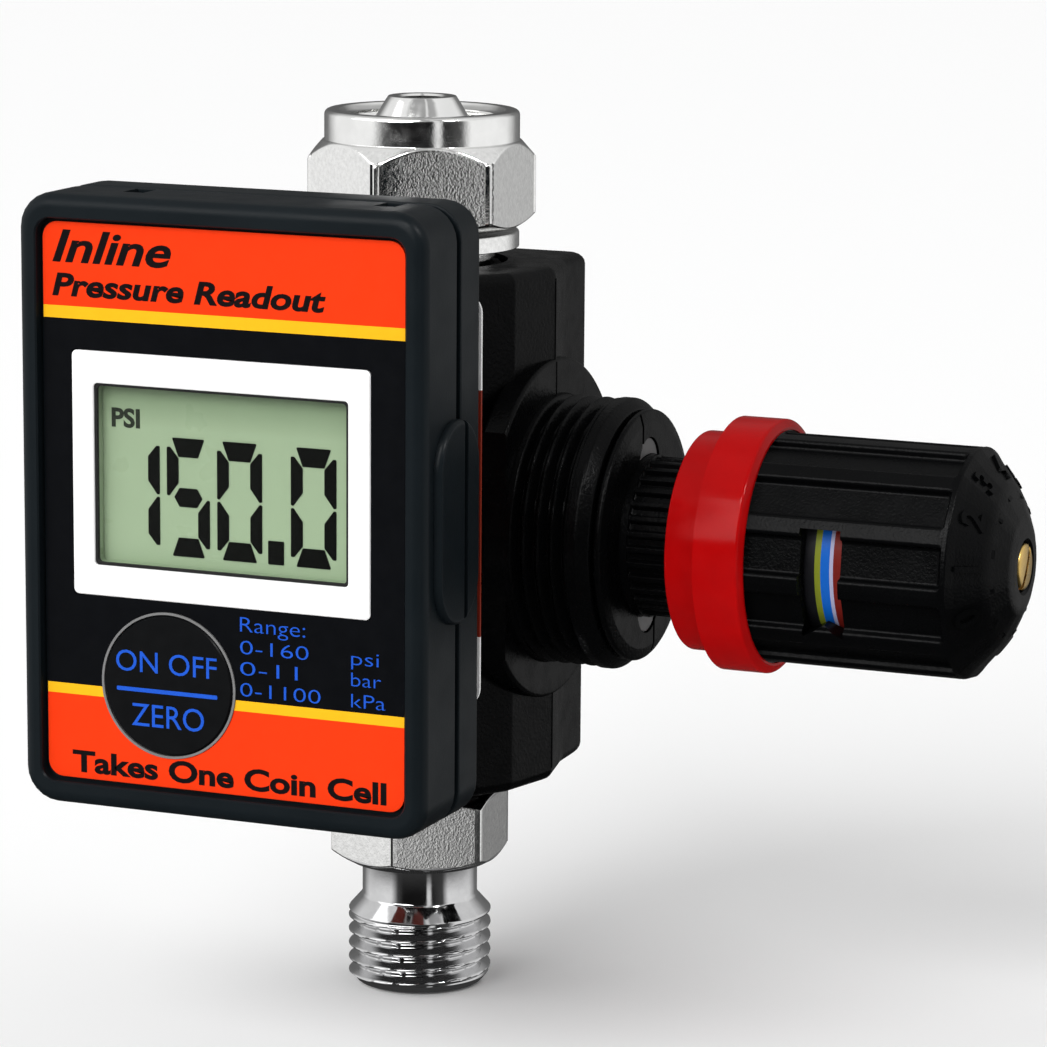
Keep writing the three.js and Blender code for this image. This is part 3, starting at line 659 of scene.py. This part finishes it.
BODY_HOLES = [
    ("port_low", "z", 6, 15, 31),
    ("port_low_seal", "z", 7.8, 15, 21.6),
    ("port_high", "z", 6, 56.2, 70),
    ("port_high_seal", "z", 7.8, 65.6, 70),
    ("valve_hole", "x", 5.6, -20, -1),
    ("valve_face", "x", 7, -20, -12),
    ("seat_hole", "x", 3.6, -2, 2),
    ("chamber", "x", 8, 1, 9),
    ("bonnet_hole", "x", 10, 8.6, 25),
    ("gauge_hole", "y", 4.6, -20, -12.3),
    ("gauge_seal", "y", 5.6, -20, -16.1),
    ("drill_low", "z", 1.8, 30, 39.5, 24, (-3.6, 0)),
    ("drill_high", "z", 1.4, 49, 58, 24, (2.7, 0)),
]
body = carved(body, [rod(*hole) for hole in BODY_HOLES])
PARTING = 0.07  # half the width of the mould's parting line
PARTING_LINES = [(12.9, 13.2, 21.2, 29), (12.9, 13.2, 58, 66.1), (13.0, 13.36, 55.6, 58.6)]
lines = [
    box("line", (inner_x, -PARTING, bottom), (outer_x, PARTING, top))
    for inner_x, outer_x, bottom, top in PARTING_LINES
]
stands_for("regulator_body", with_extras(body, lines), BLACK_ROUGH, 30)

# ---- bonnet


def spline_outline():
    """The stem's teeth, rounded at their crests."""
    corners = []
    outer, root = SPLINE["outer"], SPLINE["root"]
    pitch = 2 * math.pi / SPLINE["teeth"]
    tooth = [(-0.30, root, 0.06), (-0.17, outer, 0.15), (0.17, outer, 0.15), (0.30, root, 0.06)]
    for k in range(SPLINE["teeth"]):
        for share, radius, fillet in tooth:
            angle = pitch * (k + share)
            corners.append((radius * math.cos(angle), radius * math.sin(angle), fillet))
    return rounded(corners, closed=True, steps=3)


FACE_X = 22.3
STEM_BORE = 5.6
NOTCH = {"middle": 6.4, "radius": 2.5, "depth": 0.6}
GROOVE = {"across": -1.6, "half": 0.2, "depth": 0.35}
bonnet_profile = [(9.7, 10), (9.7, 21.3)]
bonnet_profile += rounded(
    [(10.9, 21.3), (11.3, 21.55, 0.25), (11.3, 22.0, 0.4), (10.2, FACE_X, 0.5), (7.3, FACE_X, 0.1)]
)
bonnet_profile += rounded([(7.3, 23.0, 0.15), (6.55, 23.05), (6.55, 35.2)])
bonnet = turned("bonnet_fine", "x", bonnet_profile, 192)
notches = []
for side in (1, -1):
    middle = (0, NOTCH["middle"] * side)
    ends = FACE_X - NOTCH["depth"], FACE_X + NOTCH["depth"]
    notches.append(rod("notch", "x", NOTCH["radius"], *ends, 48, middle))
    across = GROOVE["across"] * side
    bottom, top = sorted((NOTCH["middle"] * side, 12 * side))
    groove_low = (FACE_X - GROOVE["depth"], across - GROOVE["half"], KNOB_Z + bottom)
    groove_high = (FACE_X + 1, across + GROOVE["half"], KNOB_Z + top)
    notches.append(box("groove", groove_low, groove_high))
bonnet = carved(bonnet, notches)
core = rod("core", "x", 7.3, FACE_X - 1, 23.0, 96)
teeth = extruded("teeth", "x", spline_outline(), 22.9, 27.2)
bonnet = carved(bonnet, [core, teeth], "UNION")
keyway = box("keyway", (9, -1.1, KNOB_Z), (32.1, 1.1, KNOB_Z + 6.2))
stem_bores = [rod("stem_bore", "x", STEM_BORE, 9, 32.6), rod("stem_hole", "x", 2.9, 31, 36)]
bonnet = carved(bonnet, [*stem_bores, keyway])
stands_for("bonnet", bonnet, BLACK_ROUGH, 30)

pad_profile = rounded([(2.42, 21.6), (2.42, 22.12, 0.1), (2.2, 22.15)])
for side in (1, -1):
    pad = turned("bonnet_pad", "x", pad_profile, 48, centre=(0, NOTCH["middle"] * side))
    pad = carved(pad, [rod("stem_space", "x", 7.35, 21, 23, 96)])
    shown(pad, GREY, "bonnet")

# ---- lock ring, knob and scale

ring_profile = rounded(
    [(7.45, 27.6), (9.4, 27.5, 0.1), (9.8, 27.5, 0.3), (9.8, 30.7, 0.12), (11.3, 30.7, 0.4)]
)
ring_profile += rounded(
    [(11.3, 31.2), (11.3, 34.7, 0.35), (10.6, 35.1, 0.2), (10.35, 35.1, 0.05), (10.3, 34.9)]
)
ring_profile += [(10.3, 31.3), (7.45, 31.3)]
red_ring = turned("red_lock_ring_fine", "x", ring_profile, 200, True)
red_ring.visible_glossy = False  # the photo's nickel shows no red
stands_for("red_lock_ring", red_ring, RED, 40)


def knob_rings():
    """The knob's outside: twelve ribs between a plain sleeve and a full nose."""
    corners = []
    half = RIBS["width"] / 2
    pitch = 360 / RIBS["count"]
    lean = math.radians(pitch / 2)
    base = (RIBS["floor"] - half * math.sin(lean)) / math.cos(lean)
    rib = [(base, half, 0.3), (10.21, half, 0.35), (10.25, 0, 0.1), (10.21, -half, 0.35), (base, -half, 0.3)]
    for k in range(RIBS["count"]):
        angle = math.radians(180 - RIBS["turn"] - pitch * k)
        turn = Matrix.Rotation(angle, 2)
        for a, b, fillet in rib:
            corners.append((*(turn @ Vector((a, b))), fillet))
    ribbed = rounded(corners, closed=True, steps=4)

    def ring(along, radius=None, lift=0.0):
        points = []
        for point in ribbed:
            reach = radius if radius else point.length + lift * (RIBS["radius"] - point.length)
            points.append(spot("x", along, *(point.normalized() * reach)))
        return points

    stations = [ring(31.6, 9.9), ring(31.7, 10.15), ring(31.9, 10.2), ring(34.0, 10.2)]
    stations += [ring(34.15, lift=0.7), ring(34.27, lift=0.1), ring(34.4)]
    stations += [ring(52.2), ring(52.4, lift=0.12), ring(52.6, lift=0.75), ring(52.72, 10.2)]
    edge = [(10.19, 52.78), (10.15, 53.1, 0.25), (9.35, 53.7, 1.2)]
    nose = rounded([*edge, (6.9, 55.8, 4), (4.3, 57, 1.5), (3.3, 57.3)])
    return stations + [ring(along, radius) for radius, along in nose]


knob = skin("knob_fine", knob_rings())
cavity = rod("cavity", "x", 8.3, 30, 51.4, 96)
knob = carved(knob, [cavity, rod("core_hole", "x", 4.9, 50, 53.4), rod("screw_hole", "x", 1.6, 53, 56, 32)])
recess = turned("recess", "x", rounded([(2.25, 55.3), (2.25, 57.05), (2.6, 57.4), (2.6, 58)]), 64)
point_x = (WINDOW["from"] + WINDOW["to"]) / 2
low = -WINDOW["half"]
window_outline = [
    (WINDOW["from"], low),
    (point_x - POINTER["half"], low),
    (point_x, low + POINTER["height"]),
    (point_x + POINTER["half"], low),
    (WINDOW["to"], low),
    (WINDOW["to"], -low),
    (WINDOW["from"], -low),
]
window = about_knob(extruded("window", "y", window_outline, -14, -6), WINDOW["turn"])
knob = carved(knob, [recess, window])
stands_for("knob", knob, BLACK, 30)

sleeve_profile = [(6.9, 31.6), (7.95, 31.6), (7.95, 44.4), (7.5, 44.4), (7.5, 33.2), (6.9, 33.2)]
sleeve = turned("scale_sleeve_fine", "x", sleeve_profile, 120, True)
stands_for("pressure_scale_sleeve", sleeve, SCALE)

screw_profile = rounded(
    [(1.3, 50.6), (1.3, 55.5), (2.05, 55.5), (2.05, 57.3, 0.25), (1.6, 57.4), (0.6, 57.45)]
)
screw = turned("knob_screw_fine", "x", screw_profile, 64)
slot_cut = about_knob(box("slot", (56.6, -3, KNOB_Z - 0.3), (58, 3, KNOB_Z + 0.3)), -60)
stands_for("knob_screw", carved(screw, [slot_cut]), BRASS)


def lettering(name, text, size, thickness, bold=0.0, slant=0.0):
    """Text as a flat mesh, in metres. It starts at x = 0 on its baseline, and its back is at z = 0."""
    curve = bpy.data.curves.new(name, "FONT")
    curve.body = text
    curve.size = size * MM
    curve.offset = bold * MM
    curve.shear = slant
    curve.extrude = thickness * MM / 2
    curve.resolution_u = 4
    source = placed(name, curve)
    graph = bpy.context.evaluated_depsgraph_get()
    mesh = bpy.data.meshes.new_from_object(source.evaluated_get(graph))
    bpy.data.objects.remove(source)
    mesh.transform(Matrix.Translation((0, 0, thickness * MM / 2)))
    return placed(name, mesh)


def spans(mesh, axis):
    values = [vertex.co[axis] for vertex in mesh.vertices]
    return min(values), max(values)


NOSE_SLOPE = math.radians(49)
OUTWARD = Vector((math.sin(NOSE_SLOPE), -math.cos(NOSE_SLOPE), 0))
DOWN_NOSE = Vector((-math.cos(NOSE_SLOPE), -math.sin(NOSE_SLOPE), 0))


def on_nose(mark, drop, along, out, degrees):
    """Centres a flat mark on the nose's slope, its top towards the ribs, and turns it round the knob."""
    left, right = spans(mark.data, X)
    centring = Matrix.Translation((-(left + right) / 2, -drop * MM, 0))
    facing = Matrix((DOWN_NOSE.cross(OUTWARD), DOWN_NOSE, OUTWARD)).transposed().to_4x4()
    place = Vector((along, -out, KNOB_Z)) * MM - OUTWARD * 0.33 * MM
    mark.data.transform(Matrix.Translation(place) @ facing @ centring)
    return about_knob(mark, degrees)


marks = []
for i in range(12):
    turn = -23 + 30 * i
    if i < 10:
        mark = lettering("nose_digit", str(i), 3.3, 0.62, bold=0.09)
        marks.append(on_nose(mark, 1.2, 54.35, 8.45, turn))
    tick = lettering("nose_tick", "-" if i % 2 else "+", 2.6, 0.6, bold=0.06)
    marks.append(on_nose(tick, 0.7, 55.85, 6.2, turn + 12))
digits = with_extras(marks[0], marks[1:])
digits.name = "knob_digits"
shown(digits, BLACK, "knob")

# ---- outlet: fitting, nipple and swivel nut

outlet_profile = rounded([(3.9, 56.6), (5.7, 56.6), (5.7, 67.4), (6.6, 67.4), (6.6, 68.4), (8.5, 68.4)])
outlet_profile += rounded([(8.6, 68.4), (8.8, 68.4, 0.12), (8.8, 69.9, 0.3), (8.3, 69.9)]) + [(3.9, 69.9)]
stands_for("outlet_fitting", turned("outlet_fitting_fine", "z", outlet_profile, 128, True), BLASTED)

nipple_profile = [(2, 60), (3.6, 60), (3.6, 70.2), (4.25, 70.2), (4.25, 73.8)]
nipple_profile += [(5.9, 73.8), (5.9, 75.2), (4.3, 75.2)]
nipple_profile += rounded(
    [(4.3, 75.3), (4.3, 79.9, 0.25), (3.25, 81.6, 0.2), (3.05, 81.9, 0.1), (2.2, 81.9, 0.1), (2, 81.7)]
)
stands_for("outlet_nipple", turned("outlet_nipple_fine", "z", nipple_profile, 128, True), CHROME)

NUT_HEX = {"across": 18, "corner": 0.35, "turn": 90, "from": 70.2, "to": 78.0}
NUT_FLATS = {"from": 70.6, "to": 77.7, "radius": 8.85}
nut_profile = [(4.7, 70.3)] + slope((8.7, 70.3), (10.45, 71.35), 16)
nut_profile += rows(10.45, 71.6, 76.1, 4) + slope((10.45, 76.3), (9.0, 77.95), 20)
nut_profile += rounded([(8.9, 78.0), (8.8, 78.05, 0.1), (8.8, 80.7, 0.45), (7.55, 80.7, 0.15), (7.2, 80.3)])
nut_profile += rows(NUT_THREAD["root"], 80.15, 74.25, 60) + [(6.6, 73.5), (4.7, 73.5)]
nut_limits = within(hex_limited(NUT_HEX), tapped(NUT_THREAD))
nut = turned("swivel_nut_fine", "z", nut_profile, HEX_SIDES, True, limit=nut_limits)
blast(nut, NUT_FLATS, inside=0, outside=1)
stands_for("swivel_nut", nut, [BLASTED, NICKEL], 50)

# ---- gauge stem and plug

stem_profile = [(1.2, -33), (4.2, -33), (4.2, -28.5), (5, -28.5), (5, -22.5)]
stem_profile += rounded([(6.6, -22.5, 0.1), (7.9, -21.6)]) + rows(7.9, -21.4, -18.6, 3)
stem_profile += [(7.9, -18.5), (6.8, -17.6), (4.3, -17.6), (4.3, -12.6), (1.2, -12.6)]
STEM_HEX = {"across": 14, "corner": 0.4, "turn": 0, "from": -22.6, "to": -17.5}
stem = turned("gauge_stem_fine", "y", stem_profile, 240, True, limit=hex_limited(STEM_HEX))
stands_for("gauge_stem", stem, NICKEL, 50)

plug_profile = rounded([(5.9, -15.4), (6.6, -14.9, 0.3), (6.6, -13.4), (5.3, -13.4), (5.3, -9), (1.6, -9)])
plug = turned("valve_plug_fine", "x", plug_profile, 96)
plug_slot = box("slot", (-16, -5, KNOB_Z - 0.6), (-14.6, 5, KNOB_Z + 0.6))
plug = carved(plug, [plug_slot, rod("bore", "x", 1.6, -12, -8, 32)])
stands_for("valve_plug", softened(plug, 0.08, 50), NICKEL, 30)

# ---- gauge case

CASE_LOW, CASE_HIGH = extent("gauge_front_shell")
FACE_Y = CASE_LOW[Y]
BACK_Y = extent("gauge_back_shell")[1][Y]
CASE_HALF = 18.7
CASE_BOTTOM, CASE_TOP = CASE_LOW[Z] - KNOB_Z, CASE_HIGH[Z] - KNOB_Z
CASE_CORNER = 3.0


def case_outline(gap):
    corner = max(CASE_CORNER - gap, 0.4)
    return rectangle(-CASE_HALF + gap, CASE_HALF - gap, CASE_BOTTOM + gap, CASE_TOP - gap, corner)


def case_half(name, seam, face):
    """One half of the case's outside: a small break at the seam and a rounded edge at the face."""
    out = math.copysign(1, face - seam)
    stations = [(0.25, seam), (0.07, seam + 0.07 * out), (0, seam + 0.25 * out)]
    for k in range(CASE_EDGE_STEPS + 1):
        turn = math.pi / 2 * k / CASE_EDGE_STEPS
        gap = CASE_EDGE * (1 - math.cos(turn))
        stations.append((gap, face - out * CASE_EDGE * (1 - math.sin(turn))))
    return drawn(name, "y", case_outline, stations)


GRIP = {"radius": 4, "half": 4.6, "middle": (-35.4, 6.9), "steps": 24}


def pad_outline(gap):
    """A slot shape with round ends, in y and z."""
    radius = GRIP["radius"] - gap
    middle_y, middle_z = GRIP["middle"]
    points = []
    for end, start in ((1, 0), (-1, math.pi)):
        for k in range(GRIP["steps"] + 1):
            turn = start + math.pi * k / GRIP["steps"]
            rise = end * GRIP["half"] + radius * math.sin(turn)
            points.append((middle_y + radius * math.cos(turn), middle_z + rise))
    return points


def grip_pads(low_y, high_y):
    """The thumb pads on both side walls, between two Y positions."""
    pads = []
    profile = [(0, 17.9), (0, 18.95), (0.06, 19.2), (0.22, 19.36), (0.5, 19.42)]
    for side in (1, -1):
        pad = drawn("pad", "x", pad_outline, [(gap, x * side) for gap, x in profile])
        pads.append(carved(pad, [box("band", (-25, low_y, 20), (25, high_y, 80))], "INTERSECT"))
    return pads


def panel(name, left, right, bottom, top, corner, low_y, high_y):
    return extruded(name, "y", rectangle(left, right, bottom, top, corner), low_y, high_y)


def sheet(name, node, corner, thick=None):
    """A flat CAD node as a panel, with its own corners and thickness."""
    low, high = extent(node)
    behind = low[Y] + thick if thick else high[Y]
    return panel(name, low[X], high[X], low[Z] - KNOB_Z, high[Z] - KNOB_Z, corner, low[Y], behind)


def inside(name, gap, low_y, high_y):
    return extruded(name, "y", case_outline(gap), low_y, high_y)


LABEL_CORNER = 1.35
SCREEN_FRAME = {"left": -14, "right": 13.5, "bottom": -0.9, "top": 19.9}
SCREEN_HOLE = {"left": -12, "right": 11.5, "bottom": 1.7, "top": 17.2}
BUTTON_RADIUS = 6
BUTTON_AT = (-5.1, -8.1)
RECESS_GAP = 0.32  # all round the label


def openings(gap):
    """Cutters for the screen's frame and the button."""
    front, behind = -45, -36
    left, right = SCREEN_FRAME["left"] - gap, SCREEN_FRAME["right"] + gap
    bottom, top = SCREEN_FRAME["bottom"] - gap, SCREEN_FRAME["top"] + gap
    hole = panel("hole", left, right, bottom, top, 0.45, front, behind)
    return [hole, rod("key_hole", "y", BUTTON_RADIUS + 0.3, front, behind, 96, BUTTON_AT)]


def recess_outline(gap):
    left, right = LABEL_LOW[X] - RECESS_GAP, LABEL_HIGH[X] + RECESS_GAP
    bottom, top = LABEL_LOW[Z] - KNOB_Z - RECESS_GAP, LABEL_HIGH[Z] - KNOB_Z + RECESS_GAP
    return rectangle(left - gap, right + gap, bottom - gap, top + gap, LABEL_CORNER + gap)


front = case_half("gauge_front_fine", SEAM["front"], FACE_Y)
front = carved(front, grip_pads(-45, SEAM["front"]), "UNION")
recess_stations = [(0.12, FACE_Y - 1), (0.12, FACE_Y), (0, FACE_Y + 0.15), (0, PANEL_Y)]
recess = drawn("recess", "y", recess_outline, recess_stations)
SLOT = {"width": 1.9, "from": SEAM["front"] - 2.8, "to": SEAM["front"] + 1, "floor": 75.5, "top": 80}
slots = [
    box("slot", (x, SLOT["from"], SLOT["floor"]), (x + SLOT["width"], SLOT["to"], SLOT["top"]))
    for x in (-10.6, 12.4)
]
front = carved(front, [recess, inside("cavity", 1.6, -38.8, -30), *openings(0.2), *slots])
stands_for("gauge_front_shell", front, SLATE, 32)

back = case_half("gauge_back_fine", SEAM["back"], BACK_Y)
back = carved(back, [*grip_pads(SEAM["back"], -25), inside("lip", 1.9, -35.6, -33)], "UNION")
back = carved(back, [inside("cavity", 3.0, -37, -30.9), rod("stem_hole", "y", 4.6, -33, -28)])
stands_for("gauge_back_shell", back, SLATE, 32)


def banded(piece, heights, indices):
    """Splits a piece's faces at heights above the floor, and gives each band between them a material."""
    bm = bmesh.new()
    bm.from_mesh(piece.data)
    for height in heights:
        everything = bm.verts[:] + bm.edges[:] + bm.faces[:]
        bmesh.ops.bisect_plane(bm, geom=everything, plane_co=(0, 0, height * MM), plane_no=(0, 0, 1))
    for face in bm.faces:
        middle = face.calc_center_median().z / MM
        face.material_index = indices[sum(middle > height for height in heights)]
    bm.to_mesh(piece.data)
    bm.free()
    return piece


REAR_LABEL = {"thick": 0.25, "corner": 1.5, "bands": [39.5, 60.5]}
rear = sheet("rear_label_fine", "rear_label", REAR_LABEL["corner"], REAR_LABEL["thick"])
rear = carved(rear, [rod("stem_hole", "y", 5.6, -32, -26)])
rear = banded(rear, REAR_LABEL["bands"], [0, 1, 0])
stands_for("rear_label", rear, [WHITE, MAROON])

# ---- gauge face

overlay = carved(sheet("label_fine", "label_overlay", LABEL_CORNER), openings(0.08))
band_heights = [BANDS["bottom"], BANDS["low_line"], BANDS["high_line"], BANDS["top"]]
overlay = banded(overlay, band_heights, [0, 1, 2, 1, 0])
stands_for("label_overlay", overlay, [ORANGE, YELLOW, INK_FIELD])


def frame_outline(edges, corner):
    def outline(gap):
        return rectangle(
            edges["left"] + gap, edges["right"] - gap, edges["bottom"] + gap, edges["top"] - gap, corner
        )

    return outline


outer, inner = frame_outline(SCREEN_FRAME, 0.5), frame_outline(SCREEN_HOLE, 0.35)
bezel_front = extent("lcd_bezel")[0][Y]
stations = [(outer, 0.1, bezel_front), (outer, 0, bezel_front + 0.1), (outer, 0, -39.4)]
stations += [(inner, 0, -39.4), (inner, 0, bezel_front + 0.1), (inner, -0.1, bezel_front)]
bezel_rings = [[spot("y", along, u, v) for u, v in outline(gap)] for outline, gap, along in stations]
stands_for("lcd_bezel", skin("lcd_bezel_fine", bezel_rings, True), WHITE)


def screen_lining(name, front, behind, material):
    """A ring inside the screen's frame, between two Y positions."""
    corners = [(0.02, front), (0.02, behind), (0.24, behind), (0.24, front)]
    shown(drawn(name, "y", inner, corners, True), material, "lcd_bezel")


# A dark ring where the frame meets the lens: painted shadow along the frame's inner edge.
screen_lining("lcd_painted_shadow_ring", -40.33, -39.97, RUBBER)
screen_lining("lcd_rim", -39.95, -39.3, LCD_WITH_PAINTED_SHADE)


def seven_segments(digit, left, right, bottom, top, wide, tall):
    """One seven-segment digit as outlines. wide and tall are the widths of its upright and level strokes."""
    lit = {"0": "abcdef", "1": "bc", "5": "acdfg"}[digit]
    middle, gap = (bottom + top) / 2, 0.09
    across = (left + right) / 2

    def mirrored(points, flip_x, flip_z):
        return [(2 * across - x if flip_x else x, 2 * middle - z if flip_z else z) for x, z in points]

    level = [
        (left + 0.45 * wide, top),
        (right - 0.45 * wide, top),
        (right - wide, top - tall),
        (left + wide, top - tall),
    ]
    upright = [
        (left, top - 0.45 * tall - gap),
        (left + wide * 0.28, top - 0.45 * tall - gap),
        (left + wide, top - tall - gap * 1.5),
        (left + wide, middle + wide + gap * 1.5),
        (left + wide * 0.2, middle + gap * 0.9),
        (left, middle + gap * 1.6),
    ]
    half_bar = [
        (left + wide * 0.55 + gap, middle),
        (left + wide + gap, middle + tall / 2),
        (right - wide - gap, middle + tall / 2),
    ]
    shapes = {
        "a": level,
        "d": mirrored(level, False, True),
        "f": upright,
        "e": mirrored(upright, False, True),
        "b": mirrored(upright, True, False),
        "c": mirrored(upright, True, True),
        "g": half_bar + mirrored(half_bar, True, True),
    }
    return [shapes[name] for name in lit]


READING = [("1", -7.72, -6.46), ("5", -5.78, -1.8), ("0", -1.1, 3.05), ("0", 5.7, 9.85)]
GLASS_Y = extent("lcd_panel")[0][Y]
DIGIT = {"bottom": 2.8, "top": 12.85, "wide": 1.08, "tall": 1.6}
POINT = {"left": 3.6, "right": 5.05, "top": 4.8}
outlines = []
for digit, left, right in READING:
    outlines += seven_segments(digit, left, right, **DIGIT)
point_low = [(POINT["left"], DIGIT["bottom"]), (POINT["right"], DIGIT["bottom"])]
outlines.append([*point_low, (POINT["right"], POINT["top"]), (POINT["left"], POINT["top"])])
segments = []
for outline in outlines:
    soft = rounded([(*corner, 0.1) for corner in outline], closed=True, steps=3)
    segments.append(extruded("lcd_reading", "y", soft, GLASS_Y - 0.06, GLASS_Y + 0.02))
shown(with_extras(segments[0], segments[1:]), SEGMENT, "lcd_panel")

CAP = 0.73  # a capital's height in the built-in font, as a share of its size


def printed(name, text, left, right, base, cap, ink, node, bold=0.0, slant=0.0, face=LABEL_Y):
    """A line of print on the gauge's face, fitted between left and right, its base above the knob axis."""
    made = lettering(name, text, cap / CAP, PRINT + 0.02, bold, slant)
    start, end = spans(made.data, X)
    fit = (right - left) * MM / (end - start)
    facing = Matrix(((1, 0, 0), (0, 0, -1), (0, 1, 0))).to_4x4()
    stretch = Matrix.Diagonal((fit, 1, 1, 1)) @ Matrix.Translation((-start, 0, 0))
    place = Matrix.Translation(Vector((left, face + 0.02, KNOB_Z + base)) * MM)
    made.data.transform(place @ facing @ stretch)
    return shown(made, ink, node)


OVER = "label_overlay"
printed("title_upper", "Inline", -15.7, -4.6, 27.3, 2.75, INK_DARK, OVER, 0.08, 0.28)
printed("title_lower", "Pressure Readout", -15.75, 9.5, 24.45, 1.9, INK_DARK, OVER, 0.08, 0.2)
printed("footer", "Takes One Coin Cell", -14.3, 15.0, -16.3, 1.85, INK_DARK, OVER, 0.08)
BLUE_TABLE = [
    ("Range:", 1.6, 7.6, -2.85, 1.35),
    ("0-160", 1.6, 7.9, -4.75, 1.25),
    ("psi", 11.8, 14.3, -4.75, 1.25),
    ("0-11", 1.6, 6.9, -6.55, 1.25),
    ("bar", 11.8, 14.5, -6.55, 1.25),
    ("0-1100", 1.6, 9.0, -8.35, 1.25),
    ("kPa", 11.8, 14.9, -8.35, 1.25),
]
for i, (text, left, right, base, cap) in enumerate(BLUE_TABLE):
    printed(f"range_{i}", text, left, right, base, cap, INK_BLUE, OVER, -0.02)
printed("lcd_unit", "PSI", -10.95, -8.3, 13.45, 1.6, PSI_INK, "lcd_panel", 0.07, face=GLASS_Y)

key_profile = rounded([(5.85, -40.7), (6, -40.5, 0.1), (6, -38.6), (6.9, -38.6), (6.9, -38.2)])
stands_for("zero_button", turned("zero_button_fine", "y", key_profile, 128, centre=BUTTON_AT), KEY)
edge_profile = [(6.07, -40.62), (6.27, -40.62), (6.27, -40.3), (6.07, -40.3)]
key_ring = turned("button_edge", "y", edge_profile, 128, True, BUTTON_AT)
shown(key_ring, KEY_RING, OVER)
KEY_Y = extent("zero_button")[0][Y]
printed("button_upper", "ON OFF", -9.95, -0.5, -7.1, 1.9, INK_BLUE, "zero_button", face=KEY_Y)
printed("button_lower", "ZERO", -8.5, -1.7, -11.75, 2.05, INK_BLUE, "zero_button", face=KEY_Y)
rule = extruded("button_rule", "y", rectangle(-9.9, -0.45, -8.83, -8.48, 0.1), KEY_Y - PRINT, KEY_Y + 0.02)
shown(rule, INK_BLUE, "zero_button")

# ---- the pieces kept from the CAD

INNER = {
    "nickel_plate": NICKEL,
    "brass": BRASS,
    "spring_steel": STEEL,
    "seal_rubber": RUBBER,
    "clear_lens": LENS,
    "screen": LCD_WITH_PAINTED_SHADE,
    "board": BOARD,
}
for node, piece in frame["nodes"].items():
    if node not in REPLACED:
        piece.data.materials.clear()
        piece.data.materials.append(INNER[SLOT_OF[node]])

# ---- floor, light and camera

floor_mesh = bpy.data.meshes.new("floor")
FLOOR_HALF, FLOOR_Z = 6, -0.0002  # in metres
floor_sides = ((-1, -1), (1, -1), (1, 1), (-1, 1))
floor_corners = [(x * FLOOR_HALF, y * FLOOR_HALF, FLOOR_Z) for x, y in floor_sides]
floor_mesh.from_pydata(floor_corners, [], [(0, 1, 2, 3)])
floor = placed("floor", floor_mesh)
floor.data.materials.append(Finish("floor", (0.95, 0.95, 0.95), 0.9, specular=0.0).material)
floor.visible_glossy = False
floor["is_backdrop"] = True

SKY_LEVEL = 0.74
BELOW_LEVEL = 0.05
CAMERA_SIDE, CAMERA_RIGHT = (0.386, -0.922, 0), (0.922, 0.386, 0)
# Brightness round the horizon, in degrees to the right of the camera: cards, and gaps between them.
SURROUND = [
    (-180, 0.10), (-145, 0.22), (-120, 0.95), (-58, 1.05), (-44, 0.08),
    (-32, 0.01), (14, 0.01), (17, 0.95), (22, 0.95), (26, 0.02),
    (48, 0.08), (60, 1.05), (120, 0.95), (145, 0.22), (180, 0.10),
]


def sky():
    """A pale surround. Near the horizon it has the bright cards and dark gaps that polished metal shows."""
    world = bpy.data.worlds.new("surround")
    bpy.context.scene.world = world
    graph = Graph(world)
    view = graph.node("ShaderNodeTexCoord").outputs["Generated"]

    def towards(direction):
        product = graph.node("ShaderNodeVectorMath", {0: view, 1: direction}, operation="DOT_PRODUCT")
        return product.outputs["Value"]

    sides = {0: towards(CAMERA_RIGHT), 1: towards(CAMERA_SIDE)}
    turn = graph.node("ShaderNodeMath", sides, operation="ARCTAN2").outputs[0]
    stops = [((degrees + 180) / 360, (level, level, level)) for degrees, level in SURROUND]
    cards = graph.ramped(graph.spread(turn, 0, 1, -math.pi, math.pi), stops)
    height = graph.spread(towards((0, 0, 1)), 0, 0.5, 0.3, 0.6, "SMOOTHSTEP")
    above = graph.mixed(height, cards, (SKY_LEVEL, SKY_LEVEL, SKY_LEVEL, 1))
    depth = graph.spread(towards((0, 0, -1)), 0, 1, 0.24, 0.4, "SMOOTHSTEP")
    whole = graph.mixed(depth, above, (BELOW_LEVEL, BELOW_LEVEL, BELOW_LEVEL, 1))
    background = graph.node("ShaderNodeBackground", {"Color": whole})
    graph.node("ShaderNodeOutputWorld", {"Surface": background.outputs[0]})


def lamp(kind, name, energy, place, target=(0, 0, 0.045), gloss_only=False, **settings):
    light = bpy.data.lights.new(name, kind)
    light.energy = energy
    for key, value in settings.items():
        setattr(light, key, value)
    lamp_object = placed(name, light)
    lamp_object.location = place
    lamp_object.visible_diffuse = not gloss_only
    aim = Vector(target) - Vector(place)
    lamp_object.rotation_euler = aim.to_track_quat("-Z", "Y").to_euler()


sky()
lamp("SUN", "key_light", 2.5, (-0.14, -0.80, 0.48), (0, 0, 0), angle=math.radians(42))
lamp("AREA", "left_softbox", 0.8, (-0.6, -0.45, 0.5), size=0.5)
lamp("AREA", "knob_softbox", 1.6, (0.42, -0.2, 0.5), size=0.06, gloss_only=True)
lamp("AREA", "spark_light", 1.4, (0.1, -0.5, 0.6), size=0.045, gloss_only=True)

lens = bpy.data.cameras.new("photo_camera")
lens.lens = 157.17
lens.sensor_width = 36
camera = placed("photo_camera", lens)
right, up, back = (0.9220, 0.3873, 0.0072), (-0.0778, 0.1669, 0.9830), (0.3795, -0.9067, 0.1840)
facing = Matrix((right, up, back)).transposed().to_4x4()
camera.matrix_world = Matrix.Translation((0.1671, -0.3750, 0.1197)) @ facing
bpy.context.scene.camera = camera
bpy.context.scene.view_settings.view_transform = "Standard"

low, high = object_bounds()
